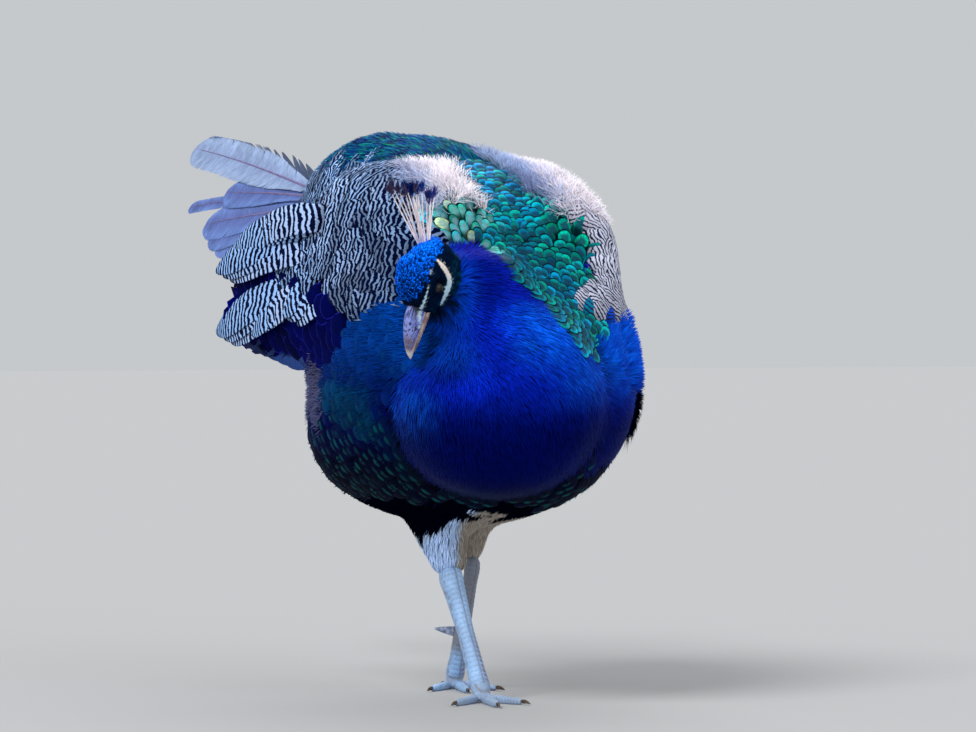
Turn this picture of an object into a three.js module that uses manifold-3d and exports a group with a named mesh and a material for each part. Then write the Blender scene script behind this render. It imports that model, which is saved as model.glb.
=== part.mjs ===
// An Indian peacock out of train, life size: puffed up and walking, head bent down to its right.
// Millimetres, +Z up. The bird faces -Y, its left side is +X, and its soles stand on Z = 0.
import * as THREE from "three";
import { ParametricGeometry } from "three/addons/geometries/ParametricGeometry.js";
import { mergeVertices } from "three/addons/utils/BufferGeometryUtils.js";
import Module from "manifold-3d";

const wasm = await Module();
wasm.setup();

// ---------------------------------------------------------------- driving dimensions
const GAP = 0.4; // clear space between pieces that meet
const FAR = 2000; // longer than anything on the bird
const UP = new THREE.Vector3(0, 0, 1);
const FORWARD = new THREE.Vector3(0, -1, 0);
const REARWARD = new THREE.Vector3(0, 1, 0);
const SIDES = { left: 1, right: -1 };

// Trunk stations from breast to rump: [y, widest height, half width, ridge height, belly height].
const TRUNK = [
  [-172, 292, 0, 292, 292],
  [-150, 294, 84, 360, 208],
  [-112, 298, 118, 416, 182],
  [-60, 300, 141, 480, 166],
  [0, 290, 145, 516, 157],
  [60, 266, 141, 530, 159],
  [110, 248, 127, 538, 165],
  [165, 296, 90, 542, 199],
  [220, 386, 72, 541, 278],
  [270, 430, 54, 531, 350],
  [308, 456, 38, 514, 402],
  [348, 464, 0, 464, 464],
];
const SHOULDER_CUT = -50;
const RUMP_CUT = 120;

const CRANIUM = new THREE.Vector3(-119, -130, 396);
const BILL_WAY = new THREE.Vector3(-0.34, 0.01, -0.94); // the head hangs, bill down
const CROWN_WAY = new THREE.Vector3(-0.869, -0.39, 0.277); // the crown is turned to the right
const CHEEK = { at: [13, 1, -10], size: [13, 18, 15] };
const EYE = { radius: 6.2, x: 18.6, y: -10, z: 3 };
const CREST = { root: [0, 27, 19], feathers: 9, low: 4, high: 68, short: 44, long: 70 };

// The tail's feathers in pairs, from the uppermost to the undermost. Its fans are the degrees
// that each pair lies below the middle one.
const TAIL = {
  root: [0, 262, 489],
  rise: 9.6, // slope of the middle pair, degrees
  roof: 54, // pitch of the two sides, like a roof
  lengths: [362, 213, 222, 205, 190, 300],
  fans: [0, 10.8, 20, 26, 31, 14.4],
  halfWidths: [22, 20, 24, 22, 20, 9],
  quill: 5, // half width of the root
  inset: 6, // the uppermost edges cross the middle by this much before they are trimmed
  swell: 150, // the sides swell out to this distance from the root
  tip: 1.5, // half width of the blunt end
  rows: 10,
  bow: 13, // how far the middles of the vanes rise from a flat sheet
  thick: 1,
  step: 2.4, // each pair lies this much under the last
};

// knee and shank scale the girth of the upper and the lower shank.
const FEET = {
  right: { hock: [-34, -14, 115], ball: [-39, -86, 11], turn: -16, knee: 1.25, shank: 1.12 },
  left: { hock: [11, 26, 121], ball: [20, 80, 11], turn: -18, knee: 0.82, shank: 1.05 },
};
// Half widths and half depths from the top down to the foot of the thigh, at THIGH_SHARES.
const THIGHS = {
  right: {
    top: [-42, 8, 190],
    foot: [-31, -15, 112],
    widths: [34, 26, 20.5, 17],
    depths: [44, 31, 21, 16],
  },
  left: {
    top: [15, 34, 194],
    foot: [11, 26, 121],
    widths: [22, 16, 13, 9.5],
    depths: [44, 30, 18, 11.5],
  },
};
const THIGH_SHARES = [0, 0.4, 0.75, 0.96];
const TOES = {
  middle: { angle: 0, length: 66, radius: 5 },
  inner: { angle: 34, length: 46, radius: 4.6 },
  outer: { angle: -36, length: 50, radius: 4.6 },
  hind: { angle: 166, length: 18, radius: 4.2 },
};
const CLAW = { length: 14, radius: 2.6 };
const SPUR = { height: 55, length: 31, radius: 6, way: [0.56, 0.82, 0.1] };

// ---------------------------------------------------------------- shaping tools
// A closed body through stations [x, y, z, halfWidth, halfUp, halfDown]. The squares of the
// half sizes are what is interpolated, so that an end of size zero comes out round.
// Sections stand square to the spine, or to the direction given as facing.
function loft(stations, { along = 16, around = 16, grow = 0, up = UP, facing } = {}) {
  const spine = new THREE.CatmullRomCurve3(stations.map(([x, y, z]) => new THREE.Vector3(x, y, z)));
  const squares = new THREE.CatmullRomCurve3(
    stations.map(([, , , w, u, d]) => new THREE.Vector3(w * w, u * u, d * d)),
  );
  const surface = (u, v, target) => {
    const t = (1 - Math.cos(Math.PI * v)) / 2;
    const size = squares.getPoint(t).max(new THREE.Vector3());
    const ahead = facing ?? spine.getTangent(t);
    const side = new THREE.Vector3().crossVectors(up, ahead).normalize();
    const top = new THREE.Vector3().crossVectors(ahead, side);
    const turn = 2 * Math.PI * u;
    const height = Math.sqrt(Math.sin(turn) > 0 ? size.y : size.z);
    const isEnd = v === 0 || v === 1;
    const extra = isEnd ? 0 : grow;
    const width = isEnd ? 0 : Math.sqrt(size.x);
    target
      .copy(spine.getPoint(t))
      .addScaledVector(side, Math.cos(turn) * (width + extra))
      .addScaledVector(top, isEnd ? 0 : Math.sin(turn) * (height + extra));
    if (v === 0) target.addScaledVector(ahead, -grow);
    if (v === 1) target.addScaledVector(ahead, grow);
  };
  return new ParametricGeometry(surface, around, along);
}

// The geometry as a solid: shared corners merged, collapsed triangles dropped, faces outwards.
function solid(geometry) {
  const bare = geometry.clone();
  bare.deleteAttribute("normal");
  bare.deleteAttribute("uv");
  const merged = mergeVertices(bare, 1e-3);
  const corners = merged.index.array;
  const kept = [];
  for (let i = 0; i < corners.length; i += 3) {
    const [a, b, c] = corners.slice(i, i + 3);
    if (a !== b && b !== c && c !== a) kept.push(a, b, c);
  }
  const build = (order) =>
    new wasm.Manifold(
      new wasm.Mesh({
        numProp: 3,
        vertProperties: new Float32Array(merged.attributes.position.array),
        triVerts: new Uint32Array(order),
      }),
    );
  const made = build(kept);
  return made.volume() > 0 ? made : build(kept.reverse());
}

// The largest connected body, which drops the crumbs that a cut can leave.
function mainBody(shape) {
  const bodies = shape.decompose();
  return bodies.reduce((a, b) => (a.volume() > b.volume() ? a : b));
}

function without(shape, ...others) {
  return mainBody(others.reduce((left, other) => left.subtract(other), shape));
}

function geometryOf(shape) {
  const { vertProperties, triVerts } = shape.getMesh();
  return new THREE.BufferGeometry()
    .setAttribute("position", new THREE.BufferAttribute(vertProperties, 3))
    .setIndex(new THREE.BufferAttribute(triVerts, 1));
}

// The half of space on one side of a plane through a point, for thin cuts and flat soles.
function halfSpace(point, normal) {
  const half = new THREE.BoxGeometry(FAR, FAR, FAR).translate(0, 0, FAR / 2);
  half.applyQuaternion(new THREE.Quaternion().setFromUnitVectors(UP, normal.clone().normalize()));
  return solid(half.translate(...point));
}

const mirrored = (stations, side) => stations.map(([x, ...rest]) => [x * side, ...rest]);
const rad = THREE.MathUtils.degToRad;

// ---------------------------------------------------------------- materials
function matt(color, roughness = 0.7, metalness = 0) {
  return new THREE.MeshStandardMaterial({ color, roughness, metalness });
}
const finish = {
  blue: () => matt(0x0a2bb0, 0.4, 0.3),
  green: () => matt(0x0f8f6a, 0.4, 0.3),
  barred: () => matt(0x9a9a98),
  navy: () => matt(0x0c1136, 0.5, 0.2),
  brown: () => matt(0x3a2c22),
  black: () => matt(0x0c1210),
  tail: () => matt(0x8f8691),
  fluff: () => matt(0xcfc9c4),
  scale: () => matt(0xb9b4b4, 0.6),
  horn: () => matt(0xa39c98, 0.35),
  claw: () => matt(0x5d554e, 0.4),
  eye: () => matt(0x120b08, 0.05),
};

const bird = new THREE.Group();
function add(name, shape, material, group = bird) {
  const mesh = new THREE.Mesh(geometryOf(shape), material());
  mesh.name = name;
  group.add(mesh);
}

// ---------------------------------------------------------------- trunk
const trunkStations = TRUNK.map(([y, z, width, ridge, belly]) => [0, y, z, width, ridge - z, z - belly]);
const trunkForm = (grow) => solid(loft(trunkStations, { along: 21, around: 20, grow, facing: REARWARD }));
const trunk = trunkForm(0);
const trunkRoom = trunkForm(GAP);

const aheadOf = (y) => halfSpace([0, y, 0], FORWARD);
const behind = (y) => halfSpace([0, y, 0], FORWARD.clone().negate());
const middleOfTrunk = trunk.intersect(behind(SHOULDER_CUT)).intersect(aheadOf(RUMP_CUT - GAP));
add("breast", mainBody(trunk.intersect(aheadOf(SHOULDER_CUT - GAP))), finish.blue);
add("back", mainBody(middleOfTrunk), finish.green);
add("rump", mainBody(trunk.intersect(behind(RUMP_CUT))), finish.green);

// ---------------------------------------------------------------- head
// It is modelled facing -Y with its crown up, in a group that then hangs on the neck.
const head = new THREE.Group();
const backWay = BILL_WAY.clone().normalize().negate();
const crownWay = CROWN_WAY.clone().addScaledVector(backWay, -CROWN_WAY.dot(backWay)).normalize();
const leftWay = new THREE.Vector3().crossVectors(backWay, crownWay);
head.position.copy(CRANIUM);
head.quaternion.setFromRotationMatrix(new THREE.Matrix4().makeBasis(leftWay, backWay, crownWay));
head.updateMatrix();
bird.add(head);

const SKULL = [
  [0, 36, 0, 0, 0, 0],
  [0, 26, 0, 20, 23, 24],
  [0, 8, 0, 25.5, 31, 30],
  [0, -10, 0, 24, 29, 28],
  [0, -24, -2, 18, 20, 22],
  [0, -34, -4, 11, 12, 14],
  [0, -41, -5, 0, 0, 0],
];
const UPPER_BILL = [
  [0, -22, -4, 0, 0, 0],
  [0, -28, -4, 9.4, 13, 2],
  [0, -40, -4.4, 9.2, 13.4, 2.2],
  [0, -52, -6, 8, 12, 2.2],
  [0, -63, -8.6, 6, 9, 2],
  [0, -72, -12, 3.2, 4.6, 1.8],
  [0, -76, -14.6, 0, 0, 0],
];
const LOWER_BILL = [
  [0, -22, -8, 0, 0, 0],
  [0, -28, -8, 8.6, 2.4, 9],
  [0, -42, -8.6, 8.2, 2.4, 8.4],
  [0, -55, -10.4, 6.2, 2, 6.6],
  [0, -65, -13.2, 3.6, 1.4, 3.8],
  [0, -70, -15.6, 0, 0, 0],
];
function eyeball(side, grow = 0) {
  const ball = new THREE.SphereGeometry(EYE.radius + grow, 10, 7);
  return solid(ball.translate(side * EYE.x, EYE.y, EYE.z));
}
const skullLoft = (grow) => loft(SKULL, { along: 11, around: 16, grow });
const upperForm = (grow) => solid(loft(UPPER_BILL, { along: 10, around: 10, grow }));
const lowerForm = (grow) => solid(loft(LOWER_BILL, { along: 7, around: 8, grow }));
function cheek(side, grow = 0) {
  const ball = new THREE.SphereGeometry(1, 12, 7).scale(...CHEEK.size.map((size) => size + grow));
  return solid(ball.translate(side * CHEEK.at[0], CHEEK.at[1], CHEEK.at[2]));
}
function skullForm(grow) {
  return Object.values(SIDES).reduce((form, side) => form.add(cheek(side, grow)), solid(skullLoft(grow)));
}
const sockets = Object.values(SIDES).map((side) => eyeball(side, GAP));
const skull = without(skullForm(0), upperForm(GAP), lowerForm(GAP), ...sockets);
add("head", skull, finish.blue, head);
add("bill_upper", upperForm(0), finish.horn, head);
add("bill_lower", without(lowerForm(0), upperForm(GAP)), finish.horn, head);
for (const [name, side] of Object.entries(SIDES)) add("eye_" + name, eyeball(side), finish.eye, head);

// The crest is a fan of bare shafts in the head's middle plane, each with a small flat tip.
function crestFeather(share) {
  const length = THREE.MathUtils.lerp(CREST.short, CREST.long, share);
  const angle = THREE.MathUtils.lerp(CREST.low, CREST.high, share);
  const stations = [
    [0, 0, -5, 0, 0, 0],
    [0, 0, 4, 0.8, 0.9, 0.9],
    [0, 0, length - 18, 0.7, 0.8, 0.8],
    [0, 0, length - 9, 0.8, 4.6, 4.6],
    [0, 0, length - 2, 0.7, 4.4, 4.4],
    [0, 0, length, 0, 0, 0],
  ];
  const feather = loft(stations, { along: 4, around: 4, up: REARWARD });
  return solid(feather.rotateX(rad(angle - 90)).translate(...CREST.root));
}
let crest = solid(new THREE.SphereGeometry(4.5, 8, 6).translate(...CREST.root));
for (let i = 0; i < CREST.feathers; i++) crest = crest.add(crestFeather(i / (CREST.feathers - 1)));
add("crest", without(crest, skullForm(GAP)), finish.blue, head);

// ---------------------------------------------------------------- neck
// The puffed lower neck stands over the breast, and the upper neck bends from its top to the head.
const CROP = [
  [-30, -110, 190, 0, 0, 0],
  [-32, -112, 214, 70, 70, 66],
  [-34, -113, 250, 97, 95, 92],
  [-34, -114, 290, 104, 101, 98],
  [-36, -119, 328, 87, 88, 84],
  [-44, -121, 356, 57, 58, 58],
  [-50, -121, 378, 34, 36, 36],
  [-52, -121, 404, 0, 0, 0],
];
const UPPER_NECK = [
  [-12, -114, 368, 0, 0, 0],
  [-24, -116, 373, 30, 31, 30],
  [-42, -119, 380, 41, 42, 39],
  [-64, -121, 381, 42, 42, 42],
  [-86, -115, 385, 35, 35, 35],
  [-103, -117, 391, 25, 27, 26],
  [-116, -122, 394, 0, 0, 0],
];
const NECK_CUT = { at: [-37, -122, 358], lean: new THREE.Vector3(-0.3, -0.06, 0.95).normalize() };
function neckForm(grow) {
  const crop = solid(loft(CROP, { along: 12, around: 18, grow, up: FORWARD }));
  return crop.add(solid(loft(UPPER_NECK, { along: 11, around: 16, grow, up: FORWARD })));
}
const skullRoom = skullForm(GAP).transform(head.matrix.elements);
const neck = neckForm(0).subtract(trunkRoom).subtract(skullRoom);
const neckRoom = neckForm(GAP);
const cropSide = halfSpace(NECK_CUT.at, NECK_CUT.lean.clone().negate());
const neckStart = new THREE.Vector3(...NECK_CUT.at).addScaledVector(NECK_CUT.lean, GAP);
add("crop", mainBody(neck.intersect(cropSide)), finish.blue);
add("neck", mainBody(neck.intersect(halfSpace(neckStart.toArray(), NECK_CUT.lean))), finish.blue);

// ---------------------------------------------------------------- wings
// Each wing hangs a little open. Its parts overlap like roof tiles: quills, coverts, scapulars.
const SCAPULARS = [
  [56, -104, 396, 0, 0, 0],
  [58, -84, 398, 54, 72, 44],
  [60, -36, 400, 70, 100, 48],
  [68, 24, 402, 72, 108, 52],
  [80, 90, 404, 64, 104, 56],
  [112, 150, 406, 38, 48, 46],
  [140, 196, 400, 14, 38, 32],
  [152, 226, 394, 0, 0, 0],
];
const TERTIALS = [
  [
    [118, 110, 438, 0, 0, 0],
    [130, 150, 430, 13, 21, 24],
    [142, 200, 419, 8, 20, 20],
    [149, 240, 408, 3.4, 12, 12],
    [152, 256, 402, 0, 0, 0],
  ],
  [
    [120, 100, 388, 0, 0, 0],
    [134, 150, 380, 13, 28, 26],
    [145, 200, 364, 8, 24, 22],
    [150, 240, 350, 3.4, 13, 12],
    [152, 256, 344, 0, 0, 0],
  ],
];
const COVERTS = [
  [112, -60, 380, 0, 0, 0],
  [118, -36, 376, 24, 38, 38],
  [124, 20, 368, 26, 46, 48],
  [126, 80, 366, 26, 46, 46],
  [134, 140, 366, 18, 38, 36],
  [144, 190, 364, 8, 24, 22],
  [149, 214, 362, 0, 0, 0],
];
const QUILLS = [
  [118, 20, 340, 0, 0, 0],
  [124, 60, 338, 18, 26, 24],
  [132, 120, 336, 14, 28, 24],
  [142, 180, 338, 7, 22, 18],
  [148, 222, 344, 3, 12, 10],
  [150, 236, 346, 0, 0, 0],
];
for (const [name, side] of Object.entries(SIDES)) {
  const form = (stations, grow, along, around) =>
    solid(loft(mirrored(stations, side), { along, around, grow }));
  const scapulars = (grow) => form(SCAPULARS, grow, 11, 13);
  const coverts = (grow) => form(COVERTS, grow, 8, 10);
  const tertials = (grow) =>
    TERTIALS.map((stations) => form(stations, grow, 6, 8)).reduce((a, b) => a.add(b));
  const cape = (grow) => scapulars(grow).add(tertials(grow));
  const quills = form(QUILLS, 0, 8, 9);
  const body = [trunkRoom, neckRoom];
  add(`wing_scapulars_${name}`, without(cape(0), ...body), finish.barred);
  add(`wing_coverts_${name}`, without(coverts(0), ...body, cape(GAP)), finish.navy);
  add(`wing_quills_${name}`, without(quills, ...body, cape(GAP), coverts(GAP)), finish.brown);
}

// ---------------------------------------------------------------- tail
// Two stacks of vanes that meet in a ridge. In its own frame a vane points along +Y, with its
// ridge side at X = 0 and its outer side at positive X.
function tailVane(length, halfWidth) {
  const { quill, swell, thick, rows, tip } = TAIL;
  const vane = new THREE.BoxGeometry(1, 1, thick, 1, rows, 1);
  const points = vane.attributes.position;
  for (let i = 0; i < points.count; i++) {
    const reach = length * Math.sin(((points.getY(i) + 0.5) * Math.PI) / 2);
    const spread = THREE.MathUtils.lerp(quill, halfWidth, THREE.MathUtils.smoothstep(reach, 0, swell));
    const end = Math.min(1, (length - reach) / halfWidth);
    const rounded = halfWidth * Math.sqrt(Math.max(0, end * (2 - end)));
    points.setXY(i, 2 * points.getX(i) * Math.max(tip, Math.min(spread, rounded)), reach);
  }
  return vane;
}
function bowed(vane, way) {
  const points = vane.attributes.position;
  for (let i = 0; i < points.count; i++) {
    const share = THREE.MathUtils.clamp(points.getY(i) / TAIL.lengths[0], 0, 1);
    points.setZ(i, points.getZ(i) + way * TAIL.bow * 4 * share * (1 - share));
  }
  return vane;
}
for (const [name, side] of Object.entries(SIDES)) {
  const along = new THREE.Vector3(0, Math.cos(rad(TAIL.rise)), Math.sin(rad(TAIL.rise)));
  const outward = new THREE.Vector3(side * Math.cos(rad(TAIL.roof)), 0, -Math.sin(rad(TAIL.roof)));
  outward.addScaledVector(along, -outward.dot(along)).normalize();
  const face = new THREE.Vector3().crossVectors(outward, along);
  const inward = side > 0 ? -1 : 1;
  const roof = new THREE.Matrix4().makeBasis(outward, along, face).setPosition(...TAIL.root);
  const ownSide = halfSpace([side * GAP, 0, 0], new THREE.Vector3(side, 0, 0));
  for (let pair = 0; pair < TAIL.lengths.length; pair++) {
    const halfWidth = TAIL.halfWidths[pair];
    const vane = tailVane(TAIL.lengths[pair], halfWidth);
    vane.rotateZ(rad(-TAIL.fans[pair]));
    vane.translate(halfWidth - TAIL.inset, 0, inward * pair * TAIL.step);
    const shape = solid(bowed(vane, -inward).applyMatrix4(roof)).intersect(ownSide);
    add(`tail_feather_${name}_${pair + 1}`, without(shape, trunkRoom), finish.tail);
  }
}

// ---------------------------------------------------------------- legs and feet
const floor = halfSpace([0, 0, 0], UP.clone().negate());

// Points between two others; the share may run past either end.
const between = (a, b, share) => a.map((v, i) => v + (b[i] - v) * share);

function tarsusForm({ hock, ball, knee, shank }, grow = 0) {
  const section = (share, width, depth, scale) => {
    return [...between(hock, ball, share), width * scale, depth * scale, depth * scale];
  };
  const stations = [
    section(-0.09, 0, 0, 1),
    section(0, 9, 10, knee),
    section(0.12, 8, 8.6, knee),
    section(0.5, 6.6, 7.6, shank),
    section(0.86, 7.4, 7.8, shank),
    section(1, 9.6, 9, 1),
    section(1.08, 0, 0, 1),
  ];
  return loft(stations, { along: 10, around: 10, grow, up: FORWARD });
}

function thighForm({ top, foot, widths, depths }) {
  const stations = [
    [...between(top, foot, -0.4), 0, 0, 0],
    ...THIGH_SHARES.map((share, i) => [...between(top, foot, share), widths[i], depths[i], depths[i]]),
    [...between(top, foot, 1.03), 0, 0, 0],
  ];
  return loft(stations, { along: 10, around: 12, up: FORWARD });
}

// Of the spur: [share of its length from the shank's middle, share of its radius].
const SPUR_TAPER = [
  [0.08, 0],
  [0.15, 1],
  [0.5, 0.72],
  [0.8, 0.38],
  [1, 0],
];

// A toe runs along -Y from the ball of the foot, its pads swelling under the joints.
const TOE_START = -7;
function toeForm({ length, radius }, grow = 0) {
  const stations = [[0, TOE_START, radius, 0, 0, 0]];
  for (const share of [0.12, 0.32, 0.54, 0.76, 0.94]) {
    const size = radius * (1 - 0.3 * share);
    stations.push([0, TOE_START - share * length, size * 0.8, size * 0.95, size, size]);
  }
  stations.push([0, TOE_START - length, radius * 0.6, 0, 0, 0]);
  return loft(stations, { along: 6, around: 7, grow });
}

// A claw curves down from the end of its toe to the ground.
function clawForm({ length, radius }) {
  const root = TOE_START - length + 3;
  const r = CLAW.radius;
  const stations = [
    [0, root, radius * 0.62, 0, 0, 0],
    [0, root - 3, radius * 0.72, r * 0.8, r, r],
    [0, root - 8, radius * 0.74, r * 0.6, r * 0.8, r * 0.8],
    [0, root - CLAW.length + 2, radius * 0.46, r * 0.3, r * 0.4, r * 0.4],
    [0, root - CLAW.length, 1.2, 0, 0, 0],
  ];
  return loft(stations, { along: 4, around: 5 });
}

for (const [name, side] of Object.entries(SIDES)) {
  const leg = FEET[name];
  const { hock, ball, turn } = leg;
  const tarsusRoom = solid(tarsusForm(leg, GAP));
  add(`thigh_${name}`, without(solid(thighForm(THIGHS[name])), trunkRoom, tarsusRoom), finish.fluff);
  add(`tarsus_${name}`, without(solid(tarsusForm(leg)), floor), finish.scale);

  // The spur stands on the inner, rear side of the shank.
  const root = new THREE.Vector3(...between(ball, hock, (SPUR.height - ball[2]) / (hock[2] - ball[2])));
  const [inward, back, rise] = SPUR.way;
  const spurWay = new THREE.Vector3(-side * inward, back, rise).normalize();
  const spurStations = SPUR_TAPER.map(([share, thickness]) => {
    const point = root.clone().addScaledVector(spurWay, share * SPUR.length);
    return [...point.toArray(), ...Array(3).fill(thickness * SPUR.radius)];
  });
  const spur = solid(loft(spurStations, { along: 5, around: 7 }));
  add(`spur_${name}`, without(spur, tarsusRoom), finish.horn);

  const foot = new THREE.Group();
  foot.position.set(ball[0], ball[1], 0);
  foot.rotation.z = rad(turn);
  foot.updateMatrix();
  bird.add(foot);
  const ankle = solid(tarsusForm(leg, GAP).applyMatrix4(foot.matrix.clone().invert()));
  const taken = [ankle, floor];
  for (const [toeName, toe] of Object.entries(TOES)) {
    const angle = rad(-side * toe.angle);
    const toeSolid = solid(toeForm(toe).rotateZ(angle));
    const toeRoom = solid(toeForm(toe, GAP).rotateZ(angle));
    const claw = solid(clawForm(toe).rotateZ(angle));
    add(`toe_${toeName}_${name}`, without(toeSolid, ...taken), finish.scale, foot);
    add(`claw_${toeName}_${name}`, without(claw, toeRoom, floor), finish.claw, foot);
    taken.push(toeRoom);
  }
}

// ---------------------------------------------------------------- place on the ground
// The origin is on the ground, under the middle of the whole bird.
const peacock = new THREE.Group();
peacock.add(bird);
peacock.updateMatrixWorld(true);
const middle = new THREE.Box3().setFromObject(peacock, true).getCenter(new THREE.Vector3());
bird.position.set(-middle.x, -middle.y, 0);

export default peacock;
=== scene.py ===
"""An Indian peacock out of train, life size, walking with its head bent down to its right."""
import math

import bmesh
import bpy
import numpy as np
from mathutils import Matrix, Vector
from mathutils.bvhtree import BVHTree


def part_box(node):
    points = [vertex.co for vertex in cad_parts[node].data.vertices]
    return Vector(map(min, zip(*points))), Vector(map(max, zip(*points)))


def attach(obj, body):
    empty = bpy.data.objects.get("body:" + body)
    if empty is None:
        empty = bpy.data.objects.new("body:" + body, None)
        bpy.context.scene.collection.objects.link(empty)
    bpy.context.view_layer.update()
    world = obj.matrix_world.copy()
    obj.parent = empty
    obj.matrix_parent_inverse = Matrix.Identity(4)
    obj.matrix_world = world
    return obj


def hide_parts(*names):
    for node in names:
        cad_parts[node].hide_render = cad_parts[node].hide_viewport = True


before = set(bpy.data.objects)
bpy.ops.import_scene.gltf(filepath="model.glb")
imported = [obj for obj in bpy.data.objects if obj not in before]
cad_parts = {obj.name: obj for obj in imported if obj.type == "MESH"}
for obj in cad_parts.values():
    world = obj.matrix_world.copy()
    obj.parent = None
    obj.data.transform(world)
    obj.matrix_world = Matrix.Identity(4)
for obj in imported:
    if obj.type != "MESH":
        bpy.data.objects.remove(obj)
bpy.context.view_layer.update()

# ---------------------------------------------------------------- units and places
# Places are in bird millimetres: the bird faces -Y, its left side is +X, its soles are at Z = 0.
MM = 0.001
SIDES = {"left": 1, "right": -1}
RUMP_CUT = 120
UP = np.array([0.0, 0.0, 1.0])
BACKWARD = np.array([0.0, 1.0, 0.0])

rump_low, rump_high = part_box("rump")
ORIGIN = np.array([(rump_low.x + rump_high.x) / 2, rump_low.y - RUMP_CUT * MM, 0.0])


def unit(v):
    v = np.asarray(v, float)
    return v / np.maximum(np.linalg.norm(v, axis=-1, keepdims=True), 1e-9)


def smooth(t):
    t = np.clip(t, 0, 1)
    return t * t * (3 - 2 * t)


def rising(v, start, end):
    """0 below start, 1 above end, and a soft step between them."""
    return smooth((v - start) / (end - start))


def srgb(*levels):
    c = np.array(levels, float) / 255
    return np.where(c <= 0.04045, c / 12.92, ((c + 0.055) / 1.055) ** 2.4)


def node_shape(*names):
    """Merged corners in bird millimetres and triangles of some CAD nodes."""
    all_corners, all_faces, start = [], [], 0
    for name in names:
        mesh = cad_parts[name].data
        corners = np.empty(len(mesh.vertices) * 3)
        mesh.vertices.foreach_get("co", corners)
        mesh.calc_loop_triangles()
        faces = np.empty(len(mesh.loop_triangles) * 3, int)
        mesh.loop_triangles.foreach_get("vertices", faces)
        corners = (corners.reshape(-1, 3) - ORIGIN) / MM
        _, first, place = np.unique(np.round(corners, 3), axis=0, return_index=True, return_inverse=True)
        all_corners.append(corners[first])
        all_faces.append(place.reshape(-1)[faces].reshape(-1, 3) + start)
        start += len(first)
    return np.concatenate(all_corners), np.concatenate(all_faces)


def hashed(cells, seed):
    """A repeatable value in 0..1 for each row of whole numbers."""
    mix = cells.astype(np.int64) @ np.array([374761393, 668265263, 974634777]) + seed * 1442695041
    mix = (mix ^ (mix >> 13)) * 1274126177
    return ((mix ^ (mix >> 16)) & 0xFFFFFF) / 0xFFFFFF


def cloud(points, size, seed=0):
    """Smooth noise in 0..1 over space, with lumps about `size` millimetres across."""
    scaled = points / size
    low = np.floor(scaled)
    share = smooth(scaled - low)
    total = np.zeros(len(points))
    for corner in range(8):
        offset = np.array([corner & 1, corner >> 1 & 1, corner >> 2 & 1])
        weight = np.prod(np.where(offset, share, 1 - share), axis=1)
        total += weight * hashed(low + offset, seed)
    return total


# ---------------------------------------------------------------- meshes
def mesh_object(name, corners, loops, sizes, smooth_faces=True):
    """An object from corners in bird millimetres, and the faces' corner numbers and sizes."""
    mesh = bpy.data.meshes.new(name)
    mesh.vertices.add(len(corners))
    mesh.vertices.foreach_set("co", (corners * MM + ORIGIN).astype(np.float32).ravel())
    mesh.loops.add(len(loops))
    mesh.loops.foreach_set("vertex_index", loops.astype(np.int32))
    mesh.polygons.add(len(sizes))
    starts = np.concatenate([[0], np.cumsum(sizes)[:-1]])
    mesh.polygons.foreach_set("loop_start", starts.astype(np.int32))
    mesh.polygons.foreach_set("use_smooth", np.full(len(sizes), smooth_faces))
    mesh.update(calc_edges=True)
    mesh.validate()
    obj = bpy.data.objects.new(name, mesh)
    bpy.context.scene.collection.objects.link(obj)
    return obj


def triangle_object(name, corners, faces):
    return mesh_object(name, corners, faces.ravel(), np.full(len(faces), 3))


def mesh_arrays(mesh):
    """Corners in bird millimetres and triangles of a triangulated mesh."""
    corners = np.empty(len(mesh.vertices) * 3)
    mesh.vertices.foreach_get("co", corners)
    faces = np.empty(len(mesh.loops), int)
    mesh.loops.foreach_get("vertex_index", faces)
    return (corners.reshape(-1, 3) - ORIGIN) / MM, faces.reshape(-1, 3)


def point_values(mesh, name, kind, values):
    attribute = mesh.attributes.new(name, kind, "POINT")
    field = {"FLOAT": "value", "FLOAT_VECTOR": "vector", "FLOAT_COLOR": "color"}[kind]
    attribute.data.foreach_set(field, np.asarray(values, np.float32).ravel())


def with_alpha(tint):
    return np.concatenate([tint, np.ones(tint.shape[:-1] + (1,))], axis=-1)


def corner_normals(corners, faces):
    a, b, c = corners[faces[:, 0]], corners[faces[:, 1]], corners[faces[:, 2]]
    flat = np.cross(b - a, c - a)
    total = np.zeros_like(corners)
    for column in range(3):
        for k in range(3):
            total[:, k] += np.bincount(faces[:, column], flat[:, k], len(corners))
    return unit(total)


def edges_of(faces):
    pairs = np.concatenate([faces[:, [0, 1]], faces[:, [1, 2]], faces[:, [2, 0]]])
    return np.unique(np.sort(pairs, axis=1), axis=0)


def neighbour_mean(values, edges):
    i, j = edges.T
    count = np.bincount(i, minlength=len(values)) + np.bincount(j, minlength=len(values))
    columns = [
        np.bincount(i, values[j, k], len(values)) + np.bincount(j, values[i, k], len(values))
        for k in range(values.shape[1])
    ]
    return np.stack(columns, 1) / np.maximum(count, 1)[:, None]


def relaxed(values, edges, rounds, weight=0.6):
    weight = np.broadcast_to(weight, len(values))[:, None]
    for _ in range(rounds):
        values = values + weight * (neighbour_mean(values, edges) - values)
    return values


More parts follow.
